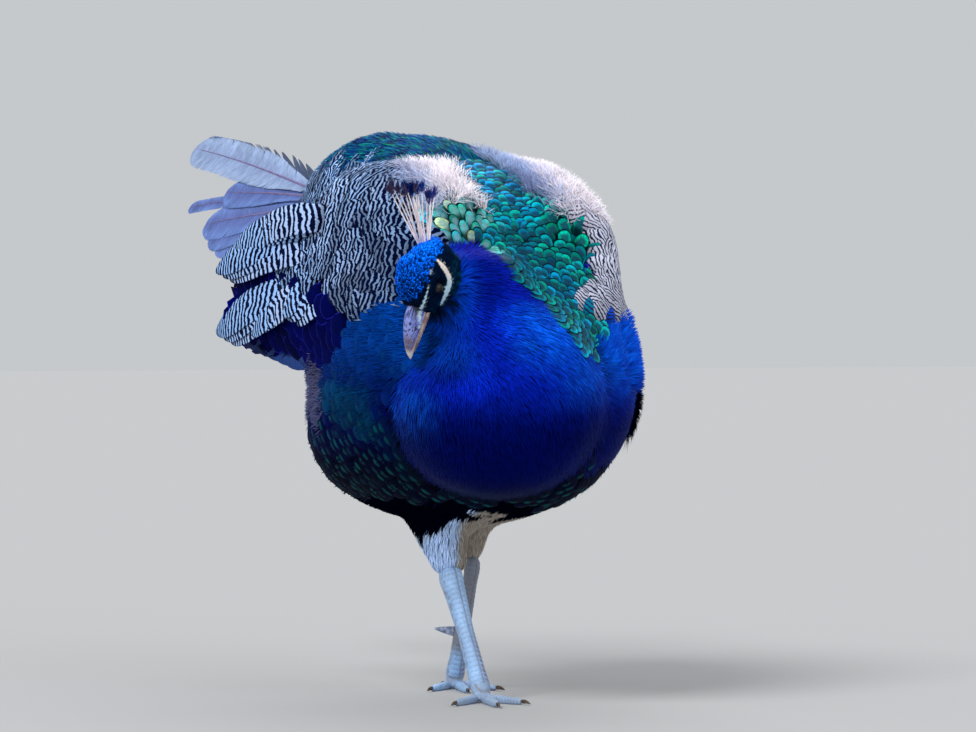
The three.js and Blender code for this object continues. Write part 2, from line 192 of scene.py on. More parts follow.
def remeshed(corners, faces, step):
    """The union of closed bodies as one even triangle mesh, biggest piece only."""
    rough = triangle_object("rough", corners, faces)
    remesh = rough.modifiers.new("remesh", "REMESH")
    remesh.mode = "VOXEL"
    remesh.voxel_size = step * MM
    fine = bmesh.new()
    fine.from_object(rough, bpy.context.evaluated_depsgraph_get())
    bmesh.ops.triangulate(fine, faces=fine.faces)
    mesh = bpy.data.meshes.new("fine")
    fine.to_mesh(mesh)
    fine.free()
    corners, faces = mesh_arrays(mesh)
    bpy.data.meshes.remove(mesh)
    old = rough.data
    bpy.data.objects.remove(rough)
    bpy.data.meshes.remove(old)
    return biggest_piece(corners, faces)


def biggest_piece(corners, faces):
    """The largest connected part of a mesh."""
    edges = edges_of(faces)
    label = np.arange(len(corners))
    while True:
        low = np.minimum(label[edges[:, 0]], label[edges[:, 1]])
        new = label.copy()
        np.minimum.at(new, edges[:, 0], low)
        np.minimum.at(new, edges[:, 1], low)
        new = new[new]
        if (new == label).all():
            break
        label = new
    main = np.bincount(label).argmax()
    kept = label == main
    place = np.cumsum(kept) - 1
    return corners[kept], place[faces[kept[faces].all(axis=1)]]


# ---------------------------------------------------------------- head's own frame
# In the head's frame X is left, Y is back and Z is the crown's way, from the middle of the skull.
EYE = {"radius": 6.2, "x": 18.6, "y": -10, "z": 3}
BILL_TIP = np.array([0, -76, -14.6])


def head_frame():
    """The skull's middle and its three axes, from the eyes and the bill's tip of the CAD."""
    eyes = {side: (np.array(sum(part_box(f"eye_{side}"), Vector()) / 2) - ORIGIN) / MM for side in SIDES}
    left = unit(eyes["left"] - eyes["right"])
    between = (eyes["left"] + eyes["right"]) / 2
    bill = node_shape("bill_upper")[0]
    tip = bill[np.linalg.norm(bill - between, axis=1).argmax()]
    to_tip = unit(tip - between)
    local = BILL_TIP - np.array([0, EYE["y"], EYE["z"]])
    droop = math.atan2(local[2], local[1])
    side_on = np.cross(left, to_tip)
    back = to_tip * math.cos(droop) - side_on * math.sin(droop)
    crown = to_tip * math.sin(droop) + side_on * math.cos(droop)
    axes = np.stack([left, back, crown])
    return between - np.array([0, EYE["y"], EYE["z"]]) @ axes, axes


HEAD, HEAD_AXES = head_frame()


def to_head(points):
    return (points - HEAD) @ HEAD_AXES.T


def from_head(points):
    return np.asarray(points, float) @ HEAD_AXES + HEAD


# ---------------------------------------------------------------- camera
CAMERA = {"azimuth": -28.0, "distance": 4600, "aside": 12.35, "height": 351, "aim": 312, "lens": 178.6}


def make_camera():
    """The camera looks almost level at the bird's front and right side, from below its back."""
    a = math.radians(CAMERA["azimuth"])
    right = np.array([math.cos(a), math.sin(a), 0])
    toward = np.array([math.sin(a), -math.cos(a), 0])
    eye = right * CAMERA["aside"] + toward * CAMERA["distance"] + UP * CAMERA["height"]
    target = right * CAMERA["aside"] + UP * CAMERA["aim"]
    camera = bpy.data.objects.new("camera", bpy.data.cameras.new("camera"))
    camera.data.lens = CAMERA["lens"]
    camera.data.sensor_width = 36
    camera.location = eye * MM + ORIGIN
    camera.rotation_euler = Vector(target - eye).to_track_quat("-Z", "Y").to_euler()
    bpy.context.scene.collection.objects.link(camera)
    bpy.context.scene.camera = camera


make_camera()

# ---------------------------------------------------------------- skin
SKIN_STEP = 3.4
FLESH = ["head", "neck", "crop", "breast", "back", "rump"]
FLESH += [f"wing_{part}_{side}" for part in ("scapulars", "coverts", "quills") for side in SIDES]
FLESH += [f"thigh_{side}" for side in SIDES]
PARTS = ["head", "neck", "crop", "breast", "back", "rump", "scapulars", "coverts", "quills", "thigh"]
COAT_DEPTH = dict(
    head=0.9, neck=3.4, crop=4, breast=4.4, back=4, rump=5.5, scapulars=4.5, coverts=4, quills=4, thigh=3.4
)
OVERLAP = 0.6  # the nodes grow by this much so that they join


def part_of(node):
    return next(part for part in PARTS if part in node)


def flesh_tree():
    """A search tree over the CAD flesh, and the part that each of its faces belongs to."""
    corners, faces = node_shape(*FLESH)
    counts = [len(node_shape(node)[1]) for node in FLESH]
    owners = np.repeat([PARTS.index(part_of(node)) for node in FLESH], counts)
    return BVHTree.FromPolygons(corners.tolist(), faces.tolist()), owners


def grown_union(nodes, step):
    """The union of some CAD nodes as one mesh; they grow a little first, so that they join."""
    corners, faces = node_shape(*nodes)
    return remeshed(corners + OVERLAP * corner_normals(corners, faces), faces, step)


FACE_REACHES = (46, 40)  # the skin's triangles are halved within each of these distances of the head


def refine_head(corners, faces):
    """Cuts the skin's triangles finer round the face."""
    rough = bmesh.new()
    made = [rough.verts.new(c) for c in corners.tolist()]
    for face in faces.tolist():
        rough.faces.new([made[i] for i in face])
    for reach in FACE_REACHES:
        centres = np.array([face.calc_center_median() for face in rough.faces])
        near = np.linalg.norm(centres - HEAD, axis=1) < reach
        edges = {edge: None for face, wanted in zip(rough.faces, near) if wanted for edge in face.edges}
        bmesh.ops.subdivide_edges(rough, edges=list(edges), cuts=1, use_grid_fill=True)
        bmesh.ops.triangulate(rough, faces=[f for f in rough.faces if len(f.verts) > 3])
    rough.verts.index_update()
    corners = np.array([v.co for v in rough.verts])
    faces = np.array([[v.index for v in f.verts] for f in rough.faces])
    rough.free()
    return corners, faces


CROWN_HEART = (0, 4, 2)
CROWN_DROP = 5.5
HEAD_REACH = 60
BESIDE = 6  # the sides of the head lie further than this from its middle plane
LID = {"open": 5.0, "rim": 5.9, "end": 9.5, "proud": 0.7, "stretch": 1.12, "sunk": 1.0}
# Swellings beside the head: middle along and up, reach along and up, and height.
CHEEK = {"middle": (-6, -14), "reach": (12, 9), "height": 1.2}
BROW = {"middle": (-8, 12.5), "reach": (11, 2.6), "height": 0.9}


def swelling(y, z, form):
    along, up = ((v - m) / r for v, m, r in zip((y, z), form["middle"], form["reach"]))
    return form["height"] * np.exp(-(along**2) - up**2)


def sculpt_head(corners):
    """Sockets, lids, the brow and the cheeks, pushed into the skin, and a lower crown at the back."""
    local = to_head(corners)
    on_head = np.linalg.norm(local, axis=1) < HEAD_REACH
    x, y, z = local.T
    away = np.hypot((y - EYE["y"]) / LID["stretch"], z - EYE["z"])
    lid = EYE["x"] + np.sqrt(np.maximum(EYE["radius"] ** 2 - away**2, 0)) + LID["proud"]
    blend = rising(away, LID["rim"], LID["end"])
    for side in SIDES.values():
        beside = on_head & (x * side > BESIDE)
        out = x * side
        out = np.where((away >= LID["open"]) & (away < LID["end"]), lid * (1 - blend) + out * blend, out)
        out = np.where(away < LID["open"], EYE["x"] + LID["sunk"], out)
        out = out + swelling(y, z, CHEEK) + swelling(y, z, BROW)
        x = np.where(beside, out * side, x)
    local = np.stack([x, y, z], 1)
    low = rising(y, 3, 15) * rising(z, 6, 15) * rising(-x, -9, 3)
    local = local - (CROWN_DROP * low)[:, None] * unit(local - CROWN_HEART)
    return np.where(on_head[:, None], from_head(local), corners)


class Skin:
    """The bird's skin: its mesh, normals, lie of the coat, parts, markings and unwrap."""

    def __init__(self):
        tree, owners = flesh_tree()
        corners, faces = grown_union(FLESH, SKIN_STEP)
        part = self.nearest_part(tree, owners, corners)
        edges = edges_of(faces)
        calm = np.where(part == PARTS.index("head"), 0.07, 0.6)
        calm = np.where(part == PARTS.index("thigh"), 0.3, calm)
        calm = relaxed(calm[:, None], edges, 6)[:, 0]
        corners = relaxed(corners, edges, 60, calm)
        depth = np.array([COAT_DEPTH[p] for p in PARTS])[part]
        depth = relaxed(depth[:, None].astype(float), edges, 20)
        corners = corners - depth * relaxed(corner_normals(corners, faces), edges, 6)
        corners = relaxed(corners, edges, 4, calm)
        corners, faces = refine_head(corners, faces)
        corners = sculpt_head(corners)
        self.corners, self.faces = corners, faces
        self.edges = edges_of(faces)
        self.normals = corner_normals(corners, faces)
        self.part = self.nearest_part(tree, owners, corners)
        self.flow = self.lie()
        self.tree = BVHTree.FromPolygons(corners.tolist(), faces.tolist())
        self.object = triangle_object("skin", corners, faces)
        self.unwrap()

    @staticmethod
    def nearest_part(tree, owners, corners):
        return np.array([owners[tree.find_nearest(c)[2]] for c in corners.tolist()])

    def lie(self):
        """The direction the coat lies in at each corner."""
        p, part = self.corners, self.part

        def set_on(names, way):
            return np.where(np.isin(part, [PARTS.index(name) for name in names])[:, None], way, flow)

        flow = np.tile(BACKWARD, (len(p), 1)) + np.array([0, 0, -0.3]) * rising(-p[:, [2]], -330, -260)
        side = np.sign(p[:, [0]])
        wing = BACKWARD + np.array([0, 0, -0.28]) + side * np.array([0.05, 0, 0])
        flow = set_on(("scapulars", "coverts", "quills"), wing)
        low = rising(-p[:, [2]], -330, -230)
        under = rising(-p[:, [2]], -250, -190)
        neck = unit(p - HEAD) + low * np.array([0, 0, -0.6]) + under * np.array([0, 1.2, 0])
        flow = set_on(("neck", "crop"), neck)
        flow = set_on(("thigh",), np.array([0, 0.1, -1.0]))
        flow = set_on(("head",), HEAD_AXES[1] - 0.25 * HEAD_AXES[2])
        weight = np.where(part == PARTS.index("head"), 0.1, 0.6)
        for _ in range(5):
            flow = relaxed(self.along_skin(flow), self.edges, 6, weight)
        return self.along_skin(flow)

    def along_skin(self, ways):
        return unit(ways - self.normals * (ways * self.normals).sum(1, keepdims=True))

    def unwrap(self):
        """Unfolds the skin's own shape; each feather takes its patch from its root's place on it."""
        bpy.ops.object.select_all(action="DESELECT")
        self.object.select_set(True)
        bpy.context.view_layer.objects.active = self.object
        self.object.data.uv_layers.new(name="OFBake")
        bpy.ops.object.mode_set(mode="EDIT")
        bpy.ops.mesh.select_all(action="SELECT")
        bpy.ops.uv.smart_project(angle_limit=math.radians(66), island_margin=0.003)
        bpy.ops.object.mode_set(mode="OBJECT")
        uv = np.empty(len(self.faces) * 6)
        self.object.data.uv_layers["OFBake"].data.foreach_get("uv", uv)
        self.uv = uv.reshape(-1, 3, 2)

    def blend(self, values, face, weights):
        """Corner values mixed at places given by face and barycentric weights."""
        return (values[self.faces[face]] * weights[..., None]).sum(1)

    def weights_at(self, face, points):
        a, b, c = (self.corners[self.faces[face, k]] for k in range(3))
        whole = np.cross(b - a, c - a)
        area = np.maximum((whole * whole).sum(1), 1e-12)
        wa = (np.cross(b - points, c - points) * whole).sum(1) / area
        wb = (np.cross(c - points, a - points) * whole).sum(1) / area
        return np.clip(np.stack([wa, wb, 1 - wa - wb], 1), 0, 1)


class Spots:
    """Places on the skin where feathers grow."""

    def __init__(self, skin, face, points):
        weights = skin.weights_at(face, points)
        self.skin, self.face, self.points = skin, face, points
        self.normals = unit(skin.blend(skin.normals, face, weights))
        self.flow = unit(skin.blend(skin.flow, face, weights))
        self.part = skin.part[skin.faces[face, 0]]
        self.uv = (skin.uv[face] * weights[..., None]).sum(1)

    def __len__(self):
        return len(self.face)

    def only(self, kept):
        less = object.__new__(Spots)
        less.skin = self.skin
        for name in ("face", "points", "normals", "flow", "part", "uv"):
            setattr(less, name, getattr(self, name)[kept])
        return less


skin = Skin()

# ---------------------------------------------------------------- areas of the plumage
# The lower edge of the barred feathers on the wing: stations (place along the body, height).
BARRED_EDGE = [(-110, 380), (-73, 371), (-36, 350), (-11, 369), (17, 381), (47, 394), (84, 388), (104, 400),
               (124, 430), (140, 600)]
MANTLE = {"low": 334, "back": 62, "front": -58, "right": -87, "left": 54, "half": 88}
# The nape's lower edge on the neck: stations (place across the body, height).
NECK_EDGE = [(-66, 470), (-58, 420), (-48, 397), (-38, 383), (-28, 374), (-19, 363), (-9, 351), (4, 337),
             (31, 333)]


def shaken(points):
    """Places nudged by soft noise, so that areas meet along ragged lines."""
    wide = np.stack([cloud(points, 17, 50 + k) for k in range(3)], 1) - 0.5
    fine = np.stack([cloud(points, 6, 60 + k) for k in range(3)], 1) - 0.5
    return points + wide * 22 + fine * 9


# Limits of areas: lowest and highest place across the body, along it and up.
FAR = 9999
BOXES = {
    "shoulder_right": ((-88, -39), (-FAR, -2), (446, FAR)),
    "shoulder_left": ((5, 82), (-115, 24), (-FAR, FAR)),
    "saddlebag": ((-FAR, FAR), (104, 296), (-FAR, 510)),
    "below_wing": ((-FAR, -110), (-FAR, 110), (309, FAR)),
    "flank": ((-FAR, -116), (34, 104), (262, FAR)),
    "vent": ((-FAR, FAR), (150, FAR), (-FAR, 400)),
    "tufts": ((-40, FAR), (-84, 44), (-FAR, 178)),
    "bright": ((44, FAR), (-FAR, -50), (222, FAR)),
    "neck_tuft": ((100, FAR), (-125, -70), (250, 290)),
}
RUMP_LOW, RUMP_HIGH = 400, 498
BELLY_TOP = 192
HEAD_CLEARANCE = 52


def in_box(name, x, y, z):
    """Whether places lie between the limits of a named area."""
    inside = np.ones(len(x), bool)
    for values, (low, high) in zip((x, y, z), BOXES[name]):
        inside &= (values > low) & (values < high)
    return inside


def areas(points, part):
    """A mask for each area of the coat."""
    x, y, z = shaken(points).T

    def node(*names):
        return np.isin(part, [PARTS.index(name) for name in names])

    wing = node("scapulars", "coverts", "quills")
    trunk = node("breast", "back", "rump")
    made = {"head": node("head"), "neck": node("neck", "crop"), "thigh": node("thigh")}
    shoulder_right = in_box("shoulder_right", x, y, z) & ~(gold_share(points) > 0.3)
    shoulder_left = in_box("shoulder_left", x, y, z) & (z > 516 - 0.73 * x + 0.39 * y) & (z > 484 - 0.5 * x)
    fluff = made["fluff"] = (wing | trunk) & (shoulder_right | shoulder_left)
    cape = wing & (y < MANTLE["front"]) & (points[:, 0] > MANTLE["right"]) & (x < MANTLE["left"])
    saddle = trunk & (y < MANTLE["back"]) & (x > -MANTLE["half"]) & (x < MANTLE["left"]) & (z < RUMP_HIGH)
    clear = np.linalg.norm(points - HEAD, axis=1) > HEAD_CLEARANCE
    nape = made["neck"] & (z > np.interp(x, *zip(*NECK_EDGE))) & clear
    made["neck"] = made["neck"] & ~nape
    mantle = ((cape | saddle) & ~fluff & (z > MANTLE["low"])) | nape
    saddlebag = trunk & in_box("saddlebag", x, y, z) & (np.abs(x) > 26) & (z > 436 + 0.16 * y)
    edge = np.interp(y, *zip(*BARRED_EDGE))
    edge = np.where(x > 0, np.minimum(edge, 350), edge)
    rest = wing & ~mantle & ~fluff
    outer = trunk & (y < 110) & ((x < -92) | (x - 0.53 * y > 120)) & (z > edge)
    made["mantle"] = mantle & ~outer & clear
    made["barred"] = (rest & (z >= edge)) | (outer & ~fluff) | saddlebag
    below = trunk & in_box("below_wing", x, y, z) & (y > 228 - 0.72 * z) & (z < edge)
    made["indigo"] = (rest & (z < edge) & ~node("quills")) | below
    made["quills"] = rest & (z < edge) & node("quills")
    behind = (y >= MANTLE["back"]) | (z > RUMP_HIGH)
    made["rump"] = trunk & behind & (z > RUMP_LOW) & ~fluff & ~saddlebag
    made["vent"] = trunk & in_box("vent", x, y, z)
    trunk = trunk & ~made["barred"] & ~below
    made["flank"] = trunk & in_box("flank", x, y, z)
    trousers = made["thigh"] & (z > np.where(x > 0, 180, 158)) & ((x > 0) | (x < -51) | (z > 166))
    tufts = trunk & in_box("tufts", x, y, z) & (x < np.where(y > -44, 34, 2))
    made["thigh"] = (made["thigh"] & ~trousers) | tufts
    made["belly"] = (trunk & (z < BELLY_TOP) & ~made["vent"] & ~tufts) | trousers
    rest = trunk & ~tufts
    for name in ("mantle", "rump", "vent", "fluff", "flank", "belly"):
        rest = rest & ~made[name]
    bright = rest & in_box("bright", x, y, z)
    made["neck"] = made["neck"] | bright
    made["breast"] = rest & ~bright
    return made


# ---------------------------------------------------------------- markings
TINTS = dict(
    royal=srgb(4, 34, 182),
    azure=srgb(8, 106, 248),
    violet=srgb(52, 30, 168),
    navy=srgb(1, 14, 104),
    ink=srgb(1, 8, 34),
    crown_azure=srgb(2, 84, 196),
    face=srgb(5, 26, 54),
    cheek=srgb(6, 58, 84),
    bare=srgb(196, 226, 238),
    bare_brow=srgb(250, 238, 228),
    teal=srgb(0, 148, 190),
    green=srgb(2, 158, 108),
    blue=srgb(6, 92, 184),
    pale_green=srgb(74, 182, 176),
    bottle=srgb(2, 60, 66),
    cream=srgb(250, 238, 240),
    lavender=srgb(132, 162, 236),
    pale=srgb(178, 200, 236),
    # bluish white: its blue is partly a painted cast of shade
    ice=srgb(148, 192, 250),
    indigo=srgb(2, 6, 92),
    slate=srgb(44, 84, 160),
    brown=srgb(52, 48, 70),
    down=srgb(184, 212, 252),
    tan=srgb(164, 154, 142),
    pink_grey=srgb(104, 104, 146),
    gold=srgb(190, 170, 60),
    shade=srgb(104, 112, 166),
    shank=srgb(160, 200, 246),
)


def mixed(a, b, share):
    share = np.asarray(share, float)
    share = share[:, None] if share.ndim == 1 else share
    return a * (1 - share) + b * share


def neck_tint(p):
    """Royal blue: azure where the light catches it as painted highlight, violet on top, darker below as
    painted shade, and dark beside the face, partly dark feathers and partly painted shadow under the head.
    """
    x, _, z = p.T
    # painted shade: darker towards the bottom, where the crop turns under
    tint = mixed(TINTS["royal"] * 0.85, TINTS["navy"] * 0.75, rising(-z, -325, -250))
    lump = cloud(p, 26, 3)
    tint = mixed(tint, TINTS["navy"], rising(-lump, -0.45, -0.15) * 0.6)
    # painted highlight: azure flecks where the light catches the crop
    left = np.maximum(rising(x, -50, 10) * rising(z, 272, 330), rising(x, -78, -30) * rising(z, 302, 342))
    left = left * rising(-z, -384, -356)
    painted_glint = rising(cloud(p, 5, 33), 0.45, 0.75)
    tint = mixed(tint, TINTS["azure"], left * (0.45 + 0.5 * painted_glint))
    # painted shade: darker again lower down
    tint = mixed(tint, TINTS["navy"] * 0.7, rising(-z, -290, -250) * 0.6)
    # painted highlight: azure along the crop's edge on the bird's right side
    tint = mixed(tint, TINTS["azure"], rising(-x, 112, 136) * rising(z, 235, 290) * (0.2 + 0.4 * painted_glint))
    tint = mixed(tint, TINTS["azure"], rising(-x, 78, 104) * rising(z, 300, 340) * 0.45)
    top = rising(z, 372, 412) * rising(x, -96, -60)
    tint = mixed(tint, TINTS["violet"] * 0.7, top * 0.75 * rising(lump, 0.25, 0.7))
    # painted shade: nearly black at the very bottom of the crop
    tint = mixed(tint, TINTS["ink"], rising(-z, -225, -185) * 0.9)
    # dark beside the throat: dark feathers, and partly painted shadow under the head
    throat = from_head(np.array([0.0, -8, -8]))
    face = rising(-np.linalg.norm(shaken(p) - throat, axis=1), -33, -25)
    return mixed(tint, TINTS["face"], face)


def gold_share(p):
    """The golden-green patch on the mantle beside the head."""
    x, y, z = shaken(p).T
    return np.exp(-(((x + 58) / 32) ** 2) - (((z - 438) / 26) ** 2) - (((y + 100) / 40) ** 2))


def mantle_tint(p):
    """Teal and green, dark in the middle, golden green beside the head and blue towards the rump."""
    x, _, z = p.T
    lump = cloud(p, 26, 5)
    tint = mixed(TINTS["teal"], TINTS["green"], rising(lump, 0.4, 0.7) * 0.4 + 0.5 * rising(x, 20, 50))
    tint = mixed(tint, TINTS["blue"] * 0.8, rising(cloud(p, 20, 6), 0.5, 0.8) * 0.45)
    dark = np.exp(-(((x + 8) / 30) ** 2) - (((z - 414) / 22) ** 2))
    tint = mixed(tint, TINTS["bottle"], dark * 0.75)
    tint = mixed(tint, TINTS["pale_green"], rising(gold_share(p), 0.3, 0.6) * 0.85)
    tint = mixed(tint, TINTS["blue"], rising(z, 465, 500) * 0.45)
    return tint * (1 - 0.45 * rising(z, 478, 500))[:, None]


def breast_tint(p):
    """Dark blue and teal, fading into black below and into the neck's blue on the left."""
    x, y, z = p.T
    lump = cloud(p, 24, 7)
    tint = mixed(TINTS["azure"] * 0.5, TINTS["navy"], rising(-z, -350, -270))
    tint = mixed(tint, TINTS["teal"] * 0.6, rising(lump, 0.45, 0.75) * 0.35 * rising(-z, -330, -290))
    tint = mixed(tint, TINTS["azure"], rising(x, 40, 80) * rising(z, 225, 300) * 0.4)
    tint = mixed(tint, TINTS["ink"], rising(-z, -290, -210) * 0.9) * 0.5
    return mixed(tint, neck_tint(p), rising(x, 30, 60) * rising(-y, -60, 50) * rising(z, 215, 250))


def rump_tint(p):
    tint = mixed(TINTS["teal"] * 0.3, TINTS["blue"] * 0.5, cloud(p, 16, 13))
    tint = mixed(tint, TINTS["ink"], rising(cloud(p, 12, 14), 0.5, 0.8) * 0.7)
    pale = rising(p[:, 1], 196, 236) * rising(-p[:, 2], -520, -500) * rising(cloud(p, 9, 15), 0.3, 0.6)
    return mixed(tint, TINTS["shade"], pale * 0.7)


def fluff_tint(p):
    lump = cloud(p, 12, 9)
    cream = rising(p[:, 0], 42, 58) + (p[:, 0] < 0) * rising(p[:, 0], -84, -66)
    tint = mixed(TINTS["shade"], TINTS["pale"] * 1.1, 0.15 + 0.6 * rising(lump, 0.25, 0.65))
    return mixed(tint, TINTS["cream"] * 1.2, np.clip(cream, 0, 1) * (0.6 + 0.4 * lump))


def barred_tint(p):
    """Cream on the left wing, darker lower down; on the right one bluish white, its blue partly a painted
    cast of shade, darker towards the front as painted shade and so paler towards the tips.
    """
    tint = mixed(TINTS["ice"], TINTS["cream"] * 0.85, cloud(p, 40, 6) * 0.2)
    # painted shade: darker towards the front of the wing
    tint = tint * (0.6 + 0.5 * rising(p[:, 1], -70, 60))[:, None]
    tint = tint * (0.5 + 0.5 * rising(cloud(p, 13, 62), 0.35, 0.6))[:, None]
    left = mixed(TINTS["cream"], TINTS["ice"], 0.35) * (0.6 + 0.4 * rising(p[:, 2], 330, 400))[:, None]
    return mixed(tint, left, rising(p[:, 0], -10, 10))


def head_tint(p):
    """An azure crown, a dark face, and bare white skin round the eye and before it."""
    _, y, z = to_head(p).T
    lump = cloud(p, 4, 11)
    crown = mixed(TINTS["crown_azure"], TINTS["azure"], rising(lump, 0.5, 0.8) * 0.6)
    crown = crown * (0.5 + 0.7 * rising(y, -24, 16))[:, None]
    cheek = rising(lump, 0.35, 0.7) * rising(-z, -2, 8)
    tint = mixed(mixed(TINTS["face"], TINTS["cheek"], cheek), crown, crown_share(p))
    bare = mixed(TINTS["bare"], TINTS["bare_brow"], rising(y, -2, 6))
    return mixed(tint, bare, bare_skin(p))


# The lower edge of the azure crown: stations (y, z) in the head's frame.
CROWN_EDGE = [(-31, 13.7), (-23, 15.5), (-16, 16.4), (-8, 17.5), (0, 18.6), (8, 18.6), (14, 16.5), (20, 13),
              (30, 8)]


def crown_share(points):
    """1 on the azure crown and 0 on the dark face."""
    _, y, z = to_head(points).T
    ragged = (cloud(points, 3.5, 19) - 0.5) * 5
    edge = np.interp(y, *zip(*CROWN_EDGE))
    return rising(z + ragged, edge - 1, edge + 1)


# Bare skin: stations (y, z, half width) in the head's frame.
CRESCENT = [(13, 14.4, 1.3), (9.5, 8, 2.4), (3.9, -2.2, 2.7), (-0.7, -5.8, 2.8), (-7, -7.4, 2.7),
            (-14.6, -9.8, 2.5), (-18.6, -12.6, 1.9), (-22, -15.4, 0.6)]
LORE = [(-11.6, 14.4, 0.3), (-18.6, 11.6, 0.7), (-23.3, 9, 1), (-27.4, 6.8, 1.1), (-31.8, 3.8, 1.2),
        (-36, 1.6, 1.2)]
BROW_SPOT = [(2, 18.2, 0.9), (-1.5, 17.2, 1.1)]


def band_share(y, z, stations):
    """1 inside a band drawn through stations, falling to 0 across its edge."""
    share = np.zeros(len(y))
    for (ya, za, wa), (yb, zb, wb) in zip(stations[:-1], stations[1:]):
        length = (yb - ya) ** 2 + (zb - za) ** 2
        t = np.clip(((y - ya) * (yb - ya) + (z - za) * (zb - za)) / length, 0, 1)
        gap = np.hypot(y - ya - t * (yb - ya), z - za - t * (zb - za))
        gap = gap + 0.5 * np.sin(y * 1.3 + z * 0.7) * np.sin(z * 1.1 - y * 0.4)
        share = np.maximum(share, rising(-(gap - (wa + (wb - wa) * t)), -0.5, 0.3))
    return share


def bare_skin(points):
    """Where the face is bare and white."""
    x, y, z = to_head(points).T
    share = np.maximum(band_share(y, z, CRESCENT), band_share(y, z, LORE))
    return np.maximum(share, 0.8 * band_share(y, z, BROW_SPOT)) * (np.abs(x) > 5)


def markings(points, part):
    """The coat's colour at places on the bird; the skin and the feathers both use it."""
    area = areas(points, part)
    tint = np.tile(TINTS["ink"], (len(points), 1))
    shade = {
        "head": head_tint,
        "neck": neck_tint,
        "mantle": mantle_tint,
        "breast": breast_tint,
        "belly": lambda p: np.tile(TINTS["ink"] * 0.35, (len(p), 1)),
        "vent": lambda p: mixed(TINTS["brown"] * 0.5, TINTS["ink"], cloud(p, 20, 4)),
        "rump": rump_tint,
        "fluff": fluff_tint,
        "barred": barred_tint,
        "indigo": lambda p: mixed(TINTS["indigo"], TINTS["ink"], cloud(p, 30, 8) * 0.8),
        "quills": lambda p: mixed(TINTS["slate"], TINTS["brown"], cloud(p, 30, 8)),
        "flank": lambda p: mixed(TINTS["pink_grey"] * 0.35, TINTS["shade"] * 0.6, cloud(p, 9, 2)),
        "thigh": lambda p: mixed(TINTS["tan"], TINTS["down"], rising(-p[:, 0], 28, 38)),
    }
    for name, colour in shade.items():
        mask = area[name]
        if mask.any():
            tint[mask] = colour(points[mask])
    return tint


# ---------------------------------------------------------------- growing the coat
def scattered(skin, spacing, seed, wanted):
    """Random spots, at most one in each cell of a grid, in the areas that `wanted` picks."""
    rng = np.random.default_rng(seed)
    a, b, c = (skin.corners[skin.faces[:, k]] for k in range(3))
    size = np.linalg.norm(np.cross(b - a, c - a), axis=1) / 2
    centre = (a + b + c) / 3
    inside = wanted(centre, skin.part[skin.faces[:, 0]])
    size = np.where(inside, size, 0)
    count = int(size.sum() / spacing**2 * 6)
    face = rng.choice(len(size), count, p=size / size.sum())
    u, v = rng.random((2, count))
    flip = u + v > 1
    u, v = np.where(flip, 1 - u, u)[:, None], np.where(flip, 1 - v, v)[:, None]
    points = a[face] + (b - a)[face] * u + (c - a)[face] * v
    cells = np.floor(points / spacing).astype(int)
    _, first = np.unique(cells, axis=0, return_index=True)
    return Spots(skin, face[first], points[first])


def rows_of_spots(skin, axis, angles, spacing, reach, wanted):
    """Spots in rows across the body, shifted by half a step in every second row, like tiles.

    The axis is points (x, y, z) along the body; rays come in towards it at the given angles,
    which are measured from straight up towards the left.
    """
    axis = np.array(axis, float)
    turn = np.radians(np.linspace(*angles, 160))
    out = np.stack([np.sin(turn), np.zeros(len(turn)), np.cos(turn)], 1)
    middle_way = out[[len(out) // 2]]

    def hits(y, ways):
        start = np.array([np.interp(y, axis[:, 1], axis[:, 0]), y, np.interp(y, axis[:, 1], axis[:, 2])])
        return [skin.tree.ray_cast((start + w * reach).tolist(), (-w).tolist(), reach) for w in ways]

    faces, points, walked, last, odd = [], [], 0.0, None, False
    for y in np.arange(axis[0, 1], axis[-1, 1], 1.0):
        seen = hits(y, middle_way)[0]
        if seen[0] is None:
            continue
        here = np.array(seen[0])
        walked += 0 if last is None else np.linalg.norm(here - last)
        last = here
        if walked < spacing[0]:
            continue
        walked = 0.0
        odd = not odd
        row = [hit for hit in hits(y, out) if hit[0] is not None]
        if len(row) > 1:
            for k in places_in_row(np.array([hit[0] for hit in row]), spacing[1], odd):
                points.append(row[k][0])
                faces.append(row[k][2])
    spots = Spots(skin, np.array(faces), np.array(points))
    return spots.only(wanted(spots.points, spots.part))


def places_in_row(line, spacing, odd):
    """Which hits of a row stand one spacing apart, walking over the skin."""
    steps = np.linalg.norm(np.diff(line, axis=0), axis=1)
    steps = np.where(steps > 4 * spacing, 0, steps)
    travel = np.concatenate([[0], np.cumsum(steps)])
    at = np.searchsorted(travel, np.arange(spacing * (0.5 if odd else 0), travel[-1], spacing))
    return at[at < len(line)]


def drape(spots, heading, shares, lengths, follow):
    """Points and normals along each feather as it lies over the skin."""
    skin = spots.skin
    points, way, normal = spots.points, heading, spots.normals
    path, normals = [points], [normal]
    for step in np.diff(shares):
        ahead = points + way * (lengths * step)[:, None]
        found = [skin.tree.find_nearest(p) for p in ahead.tolist()]
        points = np.array([f[0] for f in found])
        corners = skin.faces[[f[2] for f in found]]
        normal = unit(skin.normals[corners].mean(1))
        way = way * (1 - follow) + skin.flow[corners[:, 0]] * follow
        way = unit(way - normal * (way * normal).sum(1, keepdims=True))
        path.append(points)
        normals.append(normal)
    return np.stack(path, 1), np.stack(normals, 1)


# Outlines: [share of the length, half width as a share of the widest], from root to tip.
HAIR = [(0, 0.7), (0.35, 1), (0.72, 0.72), (1, 0)]
WISP = [(0, 0.9), (0.25, 1), (0.5, 0.85), (0.78, 0.6), (1, 0)]
ROUND = [(0, 0.3), (0.25, 0.8), (0.5, 1), (0.72, 0.98), (0.87, 0.78), (0.96, 0.45), (1, 0)]
SHORT_HAIR = [(0, 0.8), (0.5, 1), (1, 0)]
BAKE_PATCH = 0.003


